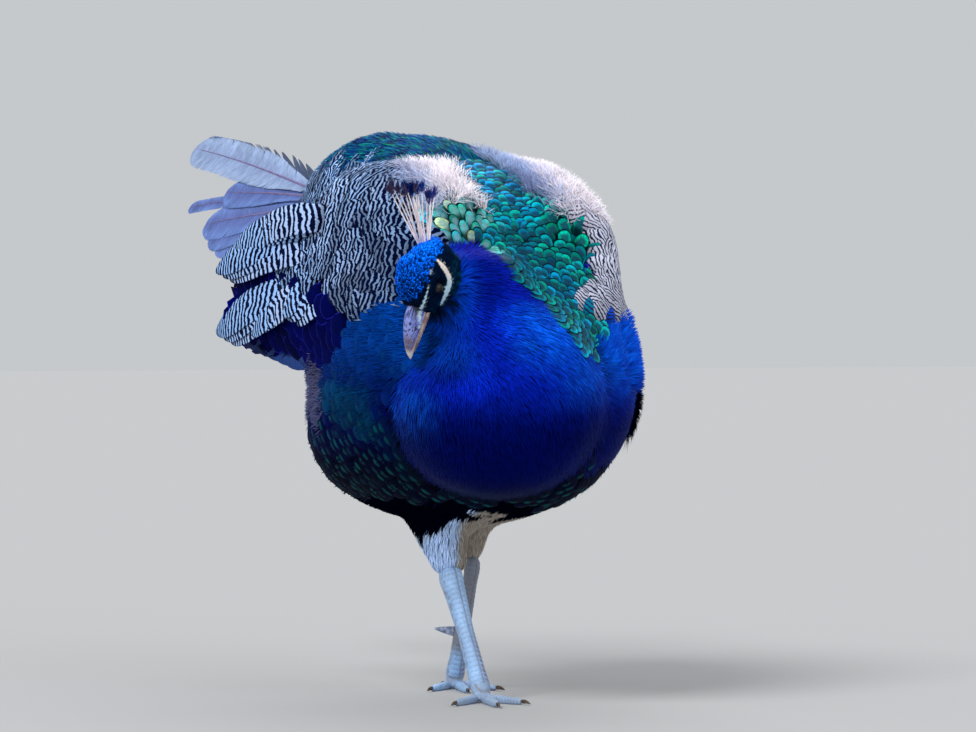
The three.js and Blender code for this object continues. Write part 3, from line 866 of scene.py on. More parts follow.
class Coat:
    """Feathers gathered into joined meshes of limited size."""

    MOST = 190_000

    def __init__(self, name, slot, material, patch=BAKE_PATCH):
        self.name, self.slot, self.material, self.patch = name, slot, material, patch
        self.batches, self.count = [], 0

    def add(self, paths, normals, half, dome, columns, shares, lengths, tint, uv, seeds, phase=0):
        """Closed vanes along the paths: rings from rim to rim over a domed back, and a tip."""
        n, rings = half.shape
        ahead = unit(np.gradient(paths, axis=1))
        across = unit(np.cross(ahead, normals))
        up = np.cross(across, ahead)
        c = np.linspace(-1, 1, columns)
        wide = half[:, :, None] * c
        high = half[:, :, None] * (1 - c * c) * dome
        body = (
            paths[:, :-1, None]
            + across[:, :-1, None] * wide[..., None]
            + up[:, :-1, None] * high[..., None]
        )
        corners = np.concatenate([body.reshape(n, -1, 3), paths[:, -1:]], 1)
        tip = np.zeros((n, 1))
        spread = np.stack(
            [
                np.concatenate([np.tile(c, (n, rings)), tip], 1),
                np.concatenate([np.tile(np.repeat(shares[:-1], columns), (n, 1)), tip + 1], 1),
                np.repeat(seeds[:, None], rings * columns + 1, 1),
            ],
            2,
        )
        place = np.stack(
            [
                np.concatenate([wide.reshape(n, -1), tip], 1),
                spread[:, :, 1] * lengths[:, None] + phase,
                spread[:, :, 2] * 97,
            ],
            2,
        )
        if tint.ndim == 2:
            tint = np.repeat(tint[:, None], rings * columns + 1, 1)
        loops, sizes = self.pattern(rings, columns)
        uvs = uv[:, None] + (spread[:, :, :2] * [0.5, 1] - [0, 0.5]) * self.patch
        triangles = int((sizes - 2).sum())
        step = max(1, self.MOST // triangles)
        for start in range(0, n, step):
            end = start + step
            self.batches.append(
                (corners[start:end], spread[start:end], place[start:end], tint[start:end],
                 uvs[start:end], loops, sizes, triangles)
            )

    @staticmethod
    def pattern(rings, columns):
        """Faces of one vane: bands round its rings, a closed root and a fan to the tip."""
        loops, sizes = [], []
        for k in range(rings - 1):
            for j in range(columns):
                a, b = k * columns + j, k * columns + (j + 1) % columns
                loops += [a, b, b + columns, a + columns]
                sizes.append(4)
        end = (rings - 1) * columns
        for j in range(columns):
            loops += [end + j, end + (j + 1) % columns, rings * columns]
            sizes.append(3)
        loops += list(range(columns - 1, -1, -1))
        sizes.append(columns)
        return np.array(loops), np.array(sizes)

    def finish(self):
        """Makes the meshes, each of at most MOST triangles."""
        groups, room = [[]], self.MOST
        for batch in self.batches:
            size = batch[-1] * len(batch[0])
            if size > room:
                groups.append([])
                room = self.MOST
            groups[-1].append(batch)
            room -= size
        for number, group in enumerate(groups, 1):
            self.build(f"{self.name}_{number}" if len(groups) > 1 else self.name, group)

    def build(self, name, group):
        corners, loops, sizes, spread, place, tint, uv, start = [], [], [], [], [], [], [], 0
        for own, own_spread, own_place, own_tint, own_uv, pattern, pattern_sizes, _ in group:
            n, per = own.shape[:2]
            offsets = start + np.arange(n)[:, None] * per
            loops.append((pattern + offsets).ravel())
            sizes.append(np.tile(pattern_sizes, n))
            corners.append(own.reshape(-1, 3))
            spread.append(own_spread.reshape(-1, 3))
            place.append(own_place.reshape(-1, 3))
            tint.append(own_tint.reshape(-1, 3))
            uv.append(own_uv[:, pattern].reshape(-1, 2))
            start += n * per
        obj = mesh_object(name, np.concatenate(corners), np.concatenate(loops), np.concatenate(sizes))
        mesh = obj.data
        point_values(mesh, "spread", "FLOAT_VECTOR", np.concatenate(spread))
        point_values(mesh, "place", "FLOAT_VECTOR", np.concatenate(place))
        point_values(mesh, "tint", "FLOAT_COLOR", with_alpha(np.concatenate(tint)))
        layer = mesh.uv_layers.new(name="OFBake")
        layer.data.foreach_set("uv", np.clip(np.concatenate(uv), 0, 1).astype(np.float32).ravel())
        mesh.set_sharp_from_angle(angle=math.radians(52))
        mesh.materials.append(self.material)
        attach(obj, "root")


def grow(coat, spots, seed, length, width, outline, lift, dome=0.35, columns=3, spin=0.08,
         follow=0.5, scale=None, tint=None, vary=0.2, sway=0.0, shift=None, phase=0):
    """Feathers at the spots. Lift is the height of the root and of the tip over the skin."""
    if not len(spots):
        return
    rng = np.random.default_rng(seed)
    n = len(spots)
    shares, profile = np.array(outline).T
    lengths = rng.uniform(*length, n) * (1 if scale is None else scale)
    turn = rng.normal(0, spin, n)[:, None]
    sideways = np.cross(spots.normals, spots.flow)
    heading = spots.flow * np.cos(turn) + sideways * np.sin(turn)
    if shift is not None:
        heading = unit(heading + shift)
    paths, normals = drape(spots, heading, shares, lengths, follow)
    raised = rng.uniform(0.75, 1.25, n)[:, None]
    height = lift[0] + (lift[1] - lift[0]) * shares[None, :] ** 0.8 * raised
    paths = paths + normals * height[..., None]
    if sway:
        across = np.cross(normals, unit(np.gradient(paths, axis=1)))
        wave = np.sin(shares[None, :] * rng.uniform(2, 5, (n, 1)) + rng.uniform(0, 6.3, (n, 1)))
        paths = paths + across * (wave * sway * shares)[..., None]
    wide = rng.uniform(0.85, 1.15, n) * width * (1 if scale is None else scale)
    half = wide[:, None] / 2 * profile[None, :-1]
    if tint is None:
        tint = markings(spots.points, spots.part)
    tint = tint * rng.uniform(1 - vary, 1 + vary, (n, 1))
    coat.add(paths, normals, half, dome, columns, shares, lengths, tint, spots.uv, rng.random(n), phase)


# ---------------------------------------------------------------- materials
class Nodes:
    """Short calls for wiring a material."""

    def __init__(self, name):
        self.material = bpy.data.materials.new(name)
        self.material.use_nodes = True
        self.tree = self.material.node_tree
        self.shader = self.tree.nodes["Principled BSDF"]

    def add(self, kind, *inputs, out=0, **settings):
        node = self.tree.nodes.new(kind)
        for key, value in settings.items():
            setattr(node, key, value)
        for i, value in enumerate(inputs):
            self.put(node.inputs[i], value)
        return node.outputs[out]

    def put(self, socket, value):
        if value is None:
            return
        if isinstance(value, bpy.types.NodeSocket):
            self.tree.links.new(value, socket)
        else:
            socket.default_value = value

    def math(self, operation, *inputs):
        return self.add("ShaderNodeMath", *inputs, operation=operation)

    def times(self, a, b):
        return self.math("MULTIPLY", a, b)

    def attribute(self, name, out="Vector"):
        node = self.tree.nodes.new("ShaderNodeAttribute")
        node.attribute_name = name
        return node.outputs[out]

    def split(self, vector):
        node = self.tree.nodes.new("ShaderNodeSeparateXYZ")
        self.tree.links.new(vector, node.inputs[0])
        return node.outputs

    def join(self, x, y, z):
        return self.add("ShaderNodeCombineXYZ", x, y, z)

    def noise(self, vector, scale, detail=2.0):
        node = self.tree.nodes.new("ShaderNodeTexNoise")
        self.put(node.inputs["Vector"], vector)
        node.inputs["Scale"].default_value = scale
        node.inputs["Detail"].default_value = detail
        return node.outputs["Fac"]

    def mix(self, share, a, b, blend="MIX"):
        node = self.tree.nodes.new("ShaderNodeMix")
        node.data_type = "RGBA"
        node.blend_type = blend
        self.put(node.inputs[0], share)
        self.put(node.inputs[6], a)
        self.put(node.inputs[7], b)
        return node.outputs[2]

    def scaled(self, colour, factor):
        node = self.tree.nodes.new("ShaderNodeVectorMath")
        node.operation = "SCALE"
        self.put(node.inputs[0], colour)
        self.put(node.inputs[3], factor)
        return node.outputs[0]

    def step(self, value, start, end, low=0.0, high=1.0):
        node = self.tree.nodes.new("ShaderNodeMapRange")
        node.interpolation_type = "SMOOTHSTEP"
        for i, v in enumerate((value, start, end, low, high)):
            self.put(node.inputs[i], v)
        return node.outputs[0]

    def bump(self, height, strength, distance=0.0004):
        node = self.tree.nodes.new("ShaderNodeBump")
        node.inputs["Strength"].default_value = strength
        node.inputs["Distance"].default_value = distance
        self.put(node.inputs["Height"], height)
        self.put(self.shader.inputs["Normal"], node.outputs[0])

    def finish(self, colour, rough, metal=0.0, sheen=0.0, sheen_tint=(1, 1, 1, 1), gloss=0.0):
        self.put(self.shader.inputs["Base Color"], colour)
        self.shader.inputs["Specular IOR Level"].default_value = gloss
        self.put(self.shader.inputs["Roughness"], rough)
        self.put(self.shader.inputs["Metallic"], metal)
        self.shader.inputs["Sheen Weight"].default_value = sheen
        self.shader.inputs["Sheen Roughness"].default_value = 0.4
        self.shader.inputs["Sheen Tint"].default_value = sheen_tint
        return self.material


def colour4(levels):
    return (*levels, 1.0)


class FeatherNodes(Nodes):
    """A feather's material: places as shares of the feather, places in millimetres, and its tint."""

    def __init__(self, name):
        super().__init__(name)
        self.across, self.along, self.chance = self.split(self.attribute("spread"))
        self.px, self.py, self.seed = self.split(self.attribute("place"))
        self.tint = self.attribute("tint", "Color")

    def barbs(self, coarse):
        """Streaks that run outwards and forwards from the shaft, in 0..1."""
        out = self.math("ABSOLUTE", self.px)
        slant = self.math("SUBTRACT", self.py, self.times(out, 0.9))
        return self.noise(self.join(self.times(slant, 1.5 * coarse), self.times(out, 0.25), self.seed), 1.0)

    def lumps(self, across, along, seed, detail=1.0):
        """Noise over the feather, scaled across and along it."""
        spot = self.join(self.times(self.px, across), self.times(self.py, along), seed)
        return self.noise(spot, 1.0, detail)

    def rim(self, start=0.5):
        """0 in the middle of a feather and 1 on its rounded outline."""
        side = self.math("POWER", self.math("ABSOLUTE", self.across), 4.0)
        ahead = self.step(self.along, start, 1.0)
        return self.math("ADD", side, self.math("POWER", ahead, 4.0))

    def shaded(self, colour, start, end, low):
        """Painted shade: darker at the root, where other feathers lie over it."""
        return self.scaled(colour, self.step(self.along, start, end, low, 1.0))


def hair_material(name, rough, metal, sheen, sheen_tint=(1, 1, 1, 1), root=0.7, tip=1.2, contrast=0.5):
    nodes = FeatherNodes(name)
    streak = nodes.lumps(2.0, 0.15, nodes.times(nodes.chance, 60.0), 2.0)
    light = nodes.step(streak, 0.25, 0.75, 1 - contrast / 2, 1 + contrast / 2)
    # painted shade: each hair darker towards its root, where the coat shades it, and lighter at its tip
    light = nodes.times(light, nodes.step(nodes.along, 0.0, 1.0, root, tip))
    nodes.bump(streak, 0.3)
    return nodes.finish(nodes.scaled(nodes.tint, light), rough, metal, sheen, sheen_tint)


def scale_material(name, heart, heart_share, edge):
    """Feathers with a soft heart, a bright rim before the tip painted as a highlight, a dark outline, and
    painted shade at the root.
    """
    nodes = FeatherNodes(name)
    rim = nodes.rim()
    streak = nodes.barbs(1.5)
    tint = nodes.scaled(nodes.tint, nodes.step(streak, 0.35, 0.65, 0.5, 1.45))
    middle = nodes.times(nodes.step(rim, 0.0, 0.2, 1.0, 0.0), heart_share)
    tint = nodes.mix(middle, tint, colour4(heart))
    square = nodes.times(nodes.across, nodes.across)
    # painted highlight: the rim before the tip brightened, less towards the sides
    lit = nodes.times(nodes.step(nodes.along, 0.66, 0.84), nodes.step(square, 0.2, 0.8, 1.0, 0.25))
    bright = nodes.scaled(nodes.tint, nodes.step(streak, 0.3, 0.7, 0.9, 2.3))
    tint = nodes.mix(nodes.times(lit, 0.7), tint, bright)
    tint = nodes.mix(nodes.step(rim, 0.6, 0.85), tint, colour4(edge))
    nodes.bump(streak, 0.4)
    return nodes.finish(nodes.shaded(tint, 0.2, 0.55, 0.12), 0.4, 0.5)


# The lens on a breast feather: its middle along the feather, and its reach along and across.
LENS = {"at": 0.82, "long": 0.13, "wide": 0.8}


def glint_material(name, glint):
    """Dark soft feathers, some with a shining lens before the tip."""
    nodes = FeatherNodes(name)
    streak = nodes.barbs(1.3)
    own = nodes.scaled(nodes.tint, nodes.step(streak, 0.3, 0.7, 0.6, 1.35))
    side = nodes.math("DIVIDE", nodes.across, LENS["wide"])
    ahead = nodes.math("DIVIDE", nodes.math("SUBTRACT", nodes.along, LENS["at"]), LENS["long"])
    gap = nodes.math("ADD", nodes.times(side, side), nodes.times(ahead, ahead))
    lens = nodes.times(nodes.step(gap, 0.1, 1.1, 1.0, 0.0), nodes.step(streak, 0.25, 0.6, 0.35, 1.0))
    lens = nodes.times(lens, nodes.step(nodes.noise(nodes.join(nodes.chance, 0.0, 0.0), 7.0), 0.35, 0.6))
    blue = nodes.split(nodes.tint)[2]
    lens = nodes.times(lens, nodes.step(blue, 0.03, 0.1, 0.8, 0.15))
    tint = nodes.mix(lens, own, colour4(glint))
    nodes.bump(streak, 0.4)
    return nodes.finish(nodes.shaded(tint, 0.15, 0.5, 0.3), 0.5, 0.2)


def barred_material(name, dark, period, dark_share, wander, shade_end=0.75):
    """Pale feathers with wavy dark bars across them, as on the shoulders."""
    nodes = FeatherNodes(name)
    bend = nodes.lumps(0.1, 0.06, nodes.times(nodes.seed, 0.02))
    ripple = nodes.lumps(0.42, 0.2, nodes.seed)
    out = nodes.times(nodes.math("ABSOLUTE", nodes.px), 0.25)
    slant = nodes.times(nodes.px, nodes.times(nodes.math("SINE", nodes.seed), 0.55))
    phase = nodes.math("ADD", nodes.math("SUBTRACT", nodes.py, out), slant)
    phase = nodes.math("ADD", phase, nodes.times(bend, 15.0 * wander))
    phase = nodes.math("ADD", phase, nodes.times(ripple, 5.0 * wander))
    wave = nodes.math("SINE", nodes.times(phase, 2 * math.pi / period))
    level = math.cos(math.pi * dark_share)
    bar = nodes.step(wave, level - 0.2, level + 0.2)
    streak = nodes.barbs(1.6)
    pale = nodes.scaled(nodes.tint, nodes.step(streak, 0.25, 0.75, 0.72, 1.12))
    tint = nodes.mix(bar, pale, colour4(dark))
    tint = nodes.mix(nodes.times(nodes.step(nodes.rim(0.7), 0.8, 1.0), 0.6), tint, colour4(dark))
    nodes.bump(streak, 0.35)
    return nodes.finish(nodes.shaded(tint, 0.1, shade_end, 0.35), 0.6, 0.0, 0.05)


def outlined_material(name, outline):
    """Dark feathers with a thin lighter outline."""
    nodes = FeatherNodes(name)
    rim = nodes.rim(0.6)
    streak = nodes.barbs(1.2)
    tint = nodes.scaled(nodes.tint, nodes.step(streak, 0.3, 0.7, 0.6, 1.3))
    line = nodes.times(nodes.step(rim, 0.62, 0.8), nodes.step(rim, 0.85, 1.0, 1.0, 0.2))
    tint = nodes.mix(nodes.times(line, 0.5), tint, colour4(outline))
    nodes.bump(streak, 0.4)
    return nodes.finish(nodes.shaded(tint, 0.15, 0.5, 0.3), 0.5, 0.1)


def skin_material():
    nodes = Nodes("skin")
    place = nodes.add("ShaderNodeNewGeometry")
    grain = nodes.noise(place, 900.0, 3.0)
    # painted shade: the skin under the coat darkened to 0.4–0.65 of its markings; bare skin stays near full
    # brightness
    light = nodes.step(grain, 0.3, 0.7, 0.4, 0.65)
    bare = nodes.attribute("bare", "Fac")
    light = nodes.math("MAXIMUM", light, nodes.times(bare, nodes.step(grain, 0.3, 0.7, 0.8, 1.0)))
    nodes.bump(grain, 0.3)
    return nodes.finish(nodes.scaled(nodes.attribute("tint", "Color"), light), 0.55)


# ---------------------------------------------------------------- the coat, area by area
def in_area(*names):
    return lambda points, part: np.any([areas(points, part)[name] for name in names], axis=0)


def dress_skin():
    tint = markings(skin.corners, skin.part)
    point_values(skin.object.data, "tint", "FLOAT_COLOR", with_alpha(tint))
    point_values(skin.object.data, "bare", "FLOAT", bare_skin(skin.corners) * (skin.part == 0))
    skin.object.data.materials.append(skin_material())
    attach(skin.object, "root")
    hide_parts(*FLESH)


def blended(spots, seed, *others):
    """Markings at the spots, with other colours mixed in: (colour, chance, share)."""
    rng = np.random.default_rng(seed)
    tint = markings(spots.points, spots.part)
    for colour, chance, share in others:
        tint = mixed(tint, colour, (rng.random(len(spots)) < chance) * share)
    return tint


def waves(spots, size, seed, strength):
    """A soft sideways turn of the feathers, by noise over the skin."""
    ridge = (cloud(spots.points, size, seed) - 0.5)[:, None]
    return np.cross(spots.normals, spots.flow) * ridge * strength


def grow_neck():
    """Short fine hairs; on the left edge of the breast they stand out further."""
    material = hair_material("neck_hair", 0.45, 0.35, 0.15, (0.1, 0.3, 1, 1), 0.75, 1.15, 0.35)
    coat = Coat("coat_neck", "plumage_blue", material)
    spots = scattered(skin, 1.95, 21, in_area("neck"))
    on_edge = (spots.points[:, 0] > 84) & (spots.points[:, 2] > 294)
    for chosen, tip in ((~on_edge, 3.4), (on_edge, 8.5)):
        near = spots.only(chosen)
        grow(coat, near, 1, (12, 17), 1.2, SHORT_HAIR, (0.2, tip), spin=0.14, sway=0.5, vary=0.25,
             shift=waves(near, 13, 31, 1.0))
    coat.finish()


def grow_breast():
    """Soft dark feathers with glints, and hairs over them that thin out downwards."""
    material = glint_material("breast_glints", srgb(2, 92, 96))
    coat = Coat("coat_breast", "plumage_blue", material)
    axis = [(0, -172, 292), (0, 100, 300), (0, 260, 400)]
    spots = rows_of_spots(skin, axis, (55, 305), (11, 13), 260, in_area("breast"))
    spots = spots.only(in_area("breast", "neck", "flank")(spots.points - spots.flow * 9, spots.part))
    grow(coat, spots, 2, (22, 27), 17, ROUND, (0.3, 3.6), dome=0.16, columns=5, spin=0.16, vary=0.3)
    coat.finish()
    material = hair_material("breast_hair", 0.45, 0.3, 0.1, (0.1, 0.4, 1, 1))
    hair = Coat("coat_breast_hair", "plumage_blue", material)
    spots = scattered(skin, 2.5, 28, in_area("breast"))
    high = rising(spots.points[:, 2], 262, 312)
    spots = spots.only(np.random.default_rng(5).random(len(spots)) < 0.12 + 0.88 * high)
    grow(hair, spots, 14, (13, 19), 1.6, SHORT_HAIR, (0.4, 5.2), spin=0.2, sway=0.6, vary=0.35,
         shift=waves(spots, 15, 35, 1.0))
    hair.finish()


# The scale feathers: rows' spacing along and across, width, the heart's colour and its share, and how
# many feathers have gold in them.
MANTLE_COATS = {
    "mantle": {"spacing": (6.3, 9.8), "width": 14, "heart": srgb(26, 60, 84), "share": 0.8, "gold": 0.0},
    "mantle_gold": {
        "spacing": (6.4, 8), "width": 10, "heart": srgb(128, 164, 176), "share": 0.6, "gold": 0.1,
    },
}
MANTLE_EDGE = srgb(2, 14, 24)
GOLDEN = 0.42  # above this share of the golden patch the finer feathers grow


def grow_mantle():
    """Scale feathers over the back of the neck and between the wings."""
    axis = [(-12, -194, 290), (-12, -152, 300), (-8, -40, 330), (0, 80, 340)]
    for name, scale in MANTLE_COATS.items():
        spots = rows_of_spots(skin, axis, (-88, 88), scale["spacing"], 300, in_area("mantle"))
        spots = spots.only((gold_share(spots.points) > GOLDEN) == (name == "mantle_gold"))
        material = scale_material(name, scale["heart"], scale["share"], MANTLE_EDGE)
        coat = Coat(f"coat_{name}", "plumage_green", material)
        tint = blended(spots, 51, (TINTS["green"], 0.25, 0.5), (TINTS["bottle"], 0.2, 0.5),
                       (TINTS["gold"], scale["gold"], 0.5))
        grow(coat, spots, 3, (18, 24), scale["width"], ROUND, (0.4, 3.6), dome=0.12, columns=5, spin=0.2,
             tint=tint, vary=0.45)
        coat.finish()


def grow_barred(coat, spots, seed):
    """The bars run on from feather to feather, as each counts them from one end of the wing."""
    way = spots.flow.mean(0)
    phase = (spots.points @ unit(way))[:, None]
    grow(coat, spots, seed, (26, 33), 22, ROUND, (0.3, 4.0), dome=0.2, columns=5, spin=0.2, vary=0.16,
         phase=phase)


BAR_BLUE, BAR_GREY = srgb(3, 12, 46), srgb(30, 38, 72)
QUILL_LINE, INDIGO_LINE = srgb(60, 70, 130), srgb(40, 44, 190)
LONG_PATCH = 0.12  # a long feather's part of the baked picture, across


def on_side(area, side):
    return lambda points, part: in_area(area)(points, part) & (points[:, 0] * side > 0)


def loose_barred(side):
    """Scattered barred spots in front of and behind the tidy rows."""
    spots = scattered(skin, 8.5, 41, on_side("barred", side))
    _, y, z = spots.points.T
    return spots.only((y > 96) if side < 0 else ((y < -84) | (y > 96)) & ((y < 196) | (z > 425)))


def grow_wings():
    """Barred, indigo and brown feathers in rows along each wing, and the long feathers at its edge."""
    barred = Coat("coat_barred", "plumage_barred", barred_material("barred", BAR_BLUE, 6.2, 0.6, 0.7))
    fine_barred = Coat("coat_fine_barred", "plumage_barred",
                       barred_material("fine_barred", BAR_GREY, 4.6, 0.42, 0.6))
    long_barred = Coat("coat_tertials", "plumage_barred",
                       barred_material("long_barred", BAR_BLUE, 7.6, 0.54, 0.6, 0.2), LONG_PATCH)
    indigo = Coat("coat_indigo", "plumage_indigo", outlined_material("indigo", INDIGO_LINE))
    quills = Coat("coat_quills", "quills_brown", outlined_material("quills", QUILL_LINE))
    long_quills = Coat("coat_secondaries", "quills_brown",
                       outlined_material("long_quills", QUILL_LINE), LONG_PATCH)
    for side in SIDES.values():
        axis = [(side * 46, -150, 386), (side * 62, -104, 392), (side * 76, 60, 396), (side * 130, 230, 380)]
        angles = (-50 * side, 185 * side)
        spots = rows_of_spots(skin, axis, angles, (10, 12), 200, on_side("barred", side))
        covered = in_area("barred", "fluff", "mantle")(spots.points + spots.flow * 19, spots.part)
        y = spots.points[:, 1]
        spots = spots.only((covered | (y > 92)) & (y < 110))
        coat = barred if side < 0 else fine_barred
        grow_barred(coat, spots, 4)
        grow_barred(coat, loose_barred(side), 40)
        spots = rows_of_spots(skin, axis, angles, (15, 16), 200, on_side("indigo", side))
        grow(indigo, spots, 5, (32, 38), 27, ROUND, (0.3, 4.0), dome=0.12, columns=5, spin=0.14)
        spots = rows_of_spots(skin, axis, angles, (14, 13), 200, on_side("quills", side))
        grow(quills, spots, 6, (36, 46), 21, ROUND, (0.3, 4.0), dome=0.16, columns=5, spin=0.08)
        grow_tertials(long_barred, side)
        grow_secondaries(long_quills, side)
    for coat in (barred, fine_barred, long_barred, indigo, quills, long_quills):
        coat.finish()


def grow_rump():
    material = hair_material("rump_hair", 0.5, 0.2, 0.0, root=0.5, tip=1.25)
    coat = Coat("coat_rump", "plumage_green", material)
    spots = scattered(skin, 2.9, 22, in_area("rump"))
    tint = blended(spots, 52, (TINTS["navy"], 0.3, 0.6), (TINTS["green"], 0.2, 0.4))
    grow(coat, spots, 7, (20, 34), 2.2, HAIR, (0.2, 5.5), spin=0.2, sway=1.4, vary=0.45, tint=tint,
         shift=waves(spots, 16, 36, 1.2))
    coat.finish()


def grow_fluff():
    """Down where the shoulders are in moult, on the flank and the thighs, and the dark belly hairs."""
    material = hair_material("fluff", 0.85, 0.0, 0.1, root=0.55, tip=1.15, contrast=0.3)
    coat = Coat("coat_fluff", "thigh_down", material)
    spots = scattered(skin, 1.55, 23, in_area("fluff"))
    grow(coat, spots, 8, (7, 22), 0.5, WISP, (0.1, 10.0), spin=1.2, sway=4, vary=0.2, follow=0.15,
         shift=waves(spots, 8, 37, 5))
    spots = scattered(skin, 2.4, 24, in_area("flank"))
    grow(coat, spots, 9, (9, 20), 1.0, WISP, (0.1, 6), spin=0.8, sway=3, vary=0.2,
         shift=waves(spots, 14, 38, 2.0))
    spots = scattered(skin, 2.0, 25, in_area("thigh"))
    cuff = 1 + 0.8 * rising(-spots.points[:, 2], -142, -122)
    grow(coat, spots, 10, (10, 16), 1.3, HAIR, (0.1, 3.2), spin=0.2, sway=0.8, vary=0.2, scale=cuff)
    coat.finish()
    dark = Coat("coat_belly", "plumage_blue", hair_material("belly_hair", 0.6, 0.0, 0.0))
    spots = scattered(skin, 2.8, 26, in_area("belly", "vent"))
    grow(dark, spots, 11, (8, 14), 2.0, HAIR, (0.2, 3.0), spin=0.25, sway=1.2, vary=0.3,
         shift=waves(spots, 16, 39, 1.0) + BACKWARD * 0.9)
    spots = scattered(skin, 2.4, 30, in_area("neck"))
    spots = spots.only(in_box("neck_tuft", *spots.points.T))
    grow(dark, spots, 15, (16, 26), 1.2, HAIR, (0.2, 9.0), spin=0.35, sway=1.5, vary=0.3, follow=0.1,
         tint=np.tile(TINTS["ink"] * 0.4, (len(spots), 1)))
    dark.finish()


def feathered(points, part):
    """The head without its bare skin and its eyes."""
    return in_area("head")(points, part) & (bare_skin(points) < 0.2) & (eye_gap(points) > 7.2)


def grow_head():
    """Tiny curls on the crown and short hairs on the face."""
    material = hair_material("crown_curls", 0.4, 0.35, 0.0, root=0.02, tip=1.6)
    curls = Coat("coat_crown", "plumage_blue", material)
    spots = scattered(skin, 1.45, 27, feathered)
    spots = spots.only(crown_share(spots.points) > 0.5)
    tint = blended(spots, 61, (TINTS["ink"], 0.35, 0.7), (TINTS["azure"], 0.35, 0.8))
    grow(curls, spots, 12, (2.6, 3.8), 1.9, ROUND, (0.0, 2.4), dome=0.5, spin=0.6, vary=0.6, tint=tint)
    curls.finish()
    material = hair_material("face_hair", 0.5, 0.2, 0.0, root=0.6, tip=1.25)
    coat = Coat("coat_face", "plumage_blue", material)
    spots = scattered(skin, 1.1, 29, feathered)
    spots = spots.only(crown_share(spots.points) <= 0.5)
    spots = spots.only(bare_skin(spots.points + spots.flow * 2.2) < 0.4)
    grow(coat, spots, 13, (2.2, 3.2), 0.7, SHORT_HAIR, (0.05, 0.7), spin=0.25, vary=0.35)
    coat.finish()


def eye_gap(points):
    """Distance from the middle of the nearer eye, on the side of the head."""
    local = to_head(points)
    gap = np.hypot((local[:, 1] - EYE["y"]) / LID["stretch"], local[:, 2] - EYE["z"])
    return np.where(np.abs(local[:, 0]) > BESIDE, gap, FAR)


# ---------------------------------------------------------------- shaping
def curve(points, shares):
    """Places along a Catmull-Rom curve through some points, by share of the whole."""
    points = np.asarray(points, float)
    padded = np.concatenate([[2 * points[0] - points[1]], points, [2 * points[-1] - points[-2]]])
    at = np.clip(np.asarray(shares, float), 0, 1) * (len(points) - 1)
    k = np.minimum(at.astype(int), len(points) - 2)
    t = (at - k)[:, None]
    a, b, c, d = (padded[k + i] for i in range(4))
    return 0.5 * (2 * b + (c - a) * t + (2 * a - 5 * b + 4 * c - d) * t**2 + (3 * b - a - 3 * c + d) * t**3)


def ring_faces(rings, around):
    """Quads between rings, and a fan at either end that closes on one point."""
    loops, sizes = [], []
    for k in range(rings - 1):
        for j in range(around):
            a, b = k * around + j, k * around + (j + 1) % around
            loops += [a, b, b + around, a + around]
            sizes.append(4)
    first, last = rings * around, rings * around + 1
    end = (rings - 1) * around
    for j in range(around):
        loops += [(j + 1) % around, j, first, end + j, end + (j + 1) % around, last]
        sizes += [3, 3]
    return np.array(loops), np.array(sizes)


def lathe_like(name, centres, side_ways, up_ways, outline, start, end):
    """A closed body from rings: outline[k, j] holds each ring's sideways and upwards places."""
    rings, around = outline.shape[:2]
    body = (
        centres[:, None]
        + side_ways[:, None] * outline[..., :1]
        + up_ways[:, None] * outline[..., 1:]
    )
    loops, sizes = ring_faces(rings, around)
    corners = np.concatenate([body.reshape(-1, 3), [start], [end]])
    obj = mesh_object(name, corners, loops, sizes)
    fix_facing(obj)
    return obj, corners


def fix_facing(obj):
    """Turns the faces of a closed body outwards."""
    shape = bmesh.new()
    shape.from_mesh(obj.data)
    bmesh.ops.recalc_face_normals(shape, faces=shape.faces)
    shape.to_mesh(obj.data)
    shape.free()


def move_to_head(obj, corners):
    """Puts a piece made in the head's frame in its place."""
    obj.data.vertices.foreach_set("co", (from_head(corners) * MM + ORIGIN).astype(np.float32).ravel())
    obj.data.update()


def place_piece(obj, slot, material, *nodes):
    obj.data.materials.clear()
    obj.data.materials.append(material)
    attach(obj, "root")
    if nodes:
        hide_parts(*nodes)


# ---------------------------------------------------------------- bill and eyes
# Stations (y, z of the gape line, half width, up, down), in the head's frame.
UPPER_BILL = [
    (-23, -4, 6, 8, 2), (-28, -4, 9.2, 12.6, 2), (-34, -4.2, 9.3, 13.2, 2.2), (-42, -4.6, 9, 13.2, 2.3),
    (-52, -6, 7.9, 11.8, 2.2), (-62, -8.3, 6.1, 9.1, 2), (-69, -10.8, 4.2, 6.4, 1.9),
    (-73.5, -13, 2.3, 3.6, 1.6), (-75.4, -14.4, 0.9, 1.5, 0.9),
]
LOWER_BILL = [
    (-23, -7.6, 5, 2, 6), (-28, -8, 8.4, 2.2, 8.8), (-40, -8.5, 8.2, 2.2, 8.4), (-50, -9.6, 7, 2, 7.2),
    (-61, -12, 4.7, 1.6, 4.9), (-68.4, -15, 1.8, 0.9, 1.8),
]
# The pale strip along the gape: stations (y, z, half width).
BILL_STRIP = [(-33, 3, 1.3), (-39.4, 0.2, 1.2), (-44.1, -1.8, 0.8), (-49, -3.8, 0.3)]
NOSTRIL = {"y": -38, "z": 3.4, "long": 5, "high": 1.7, "deep": 1.5}


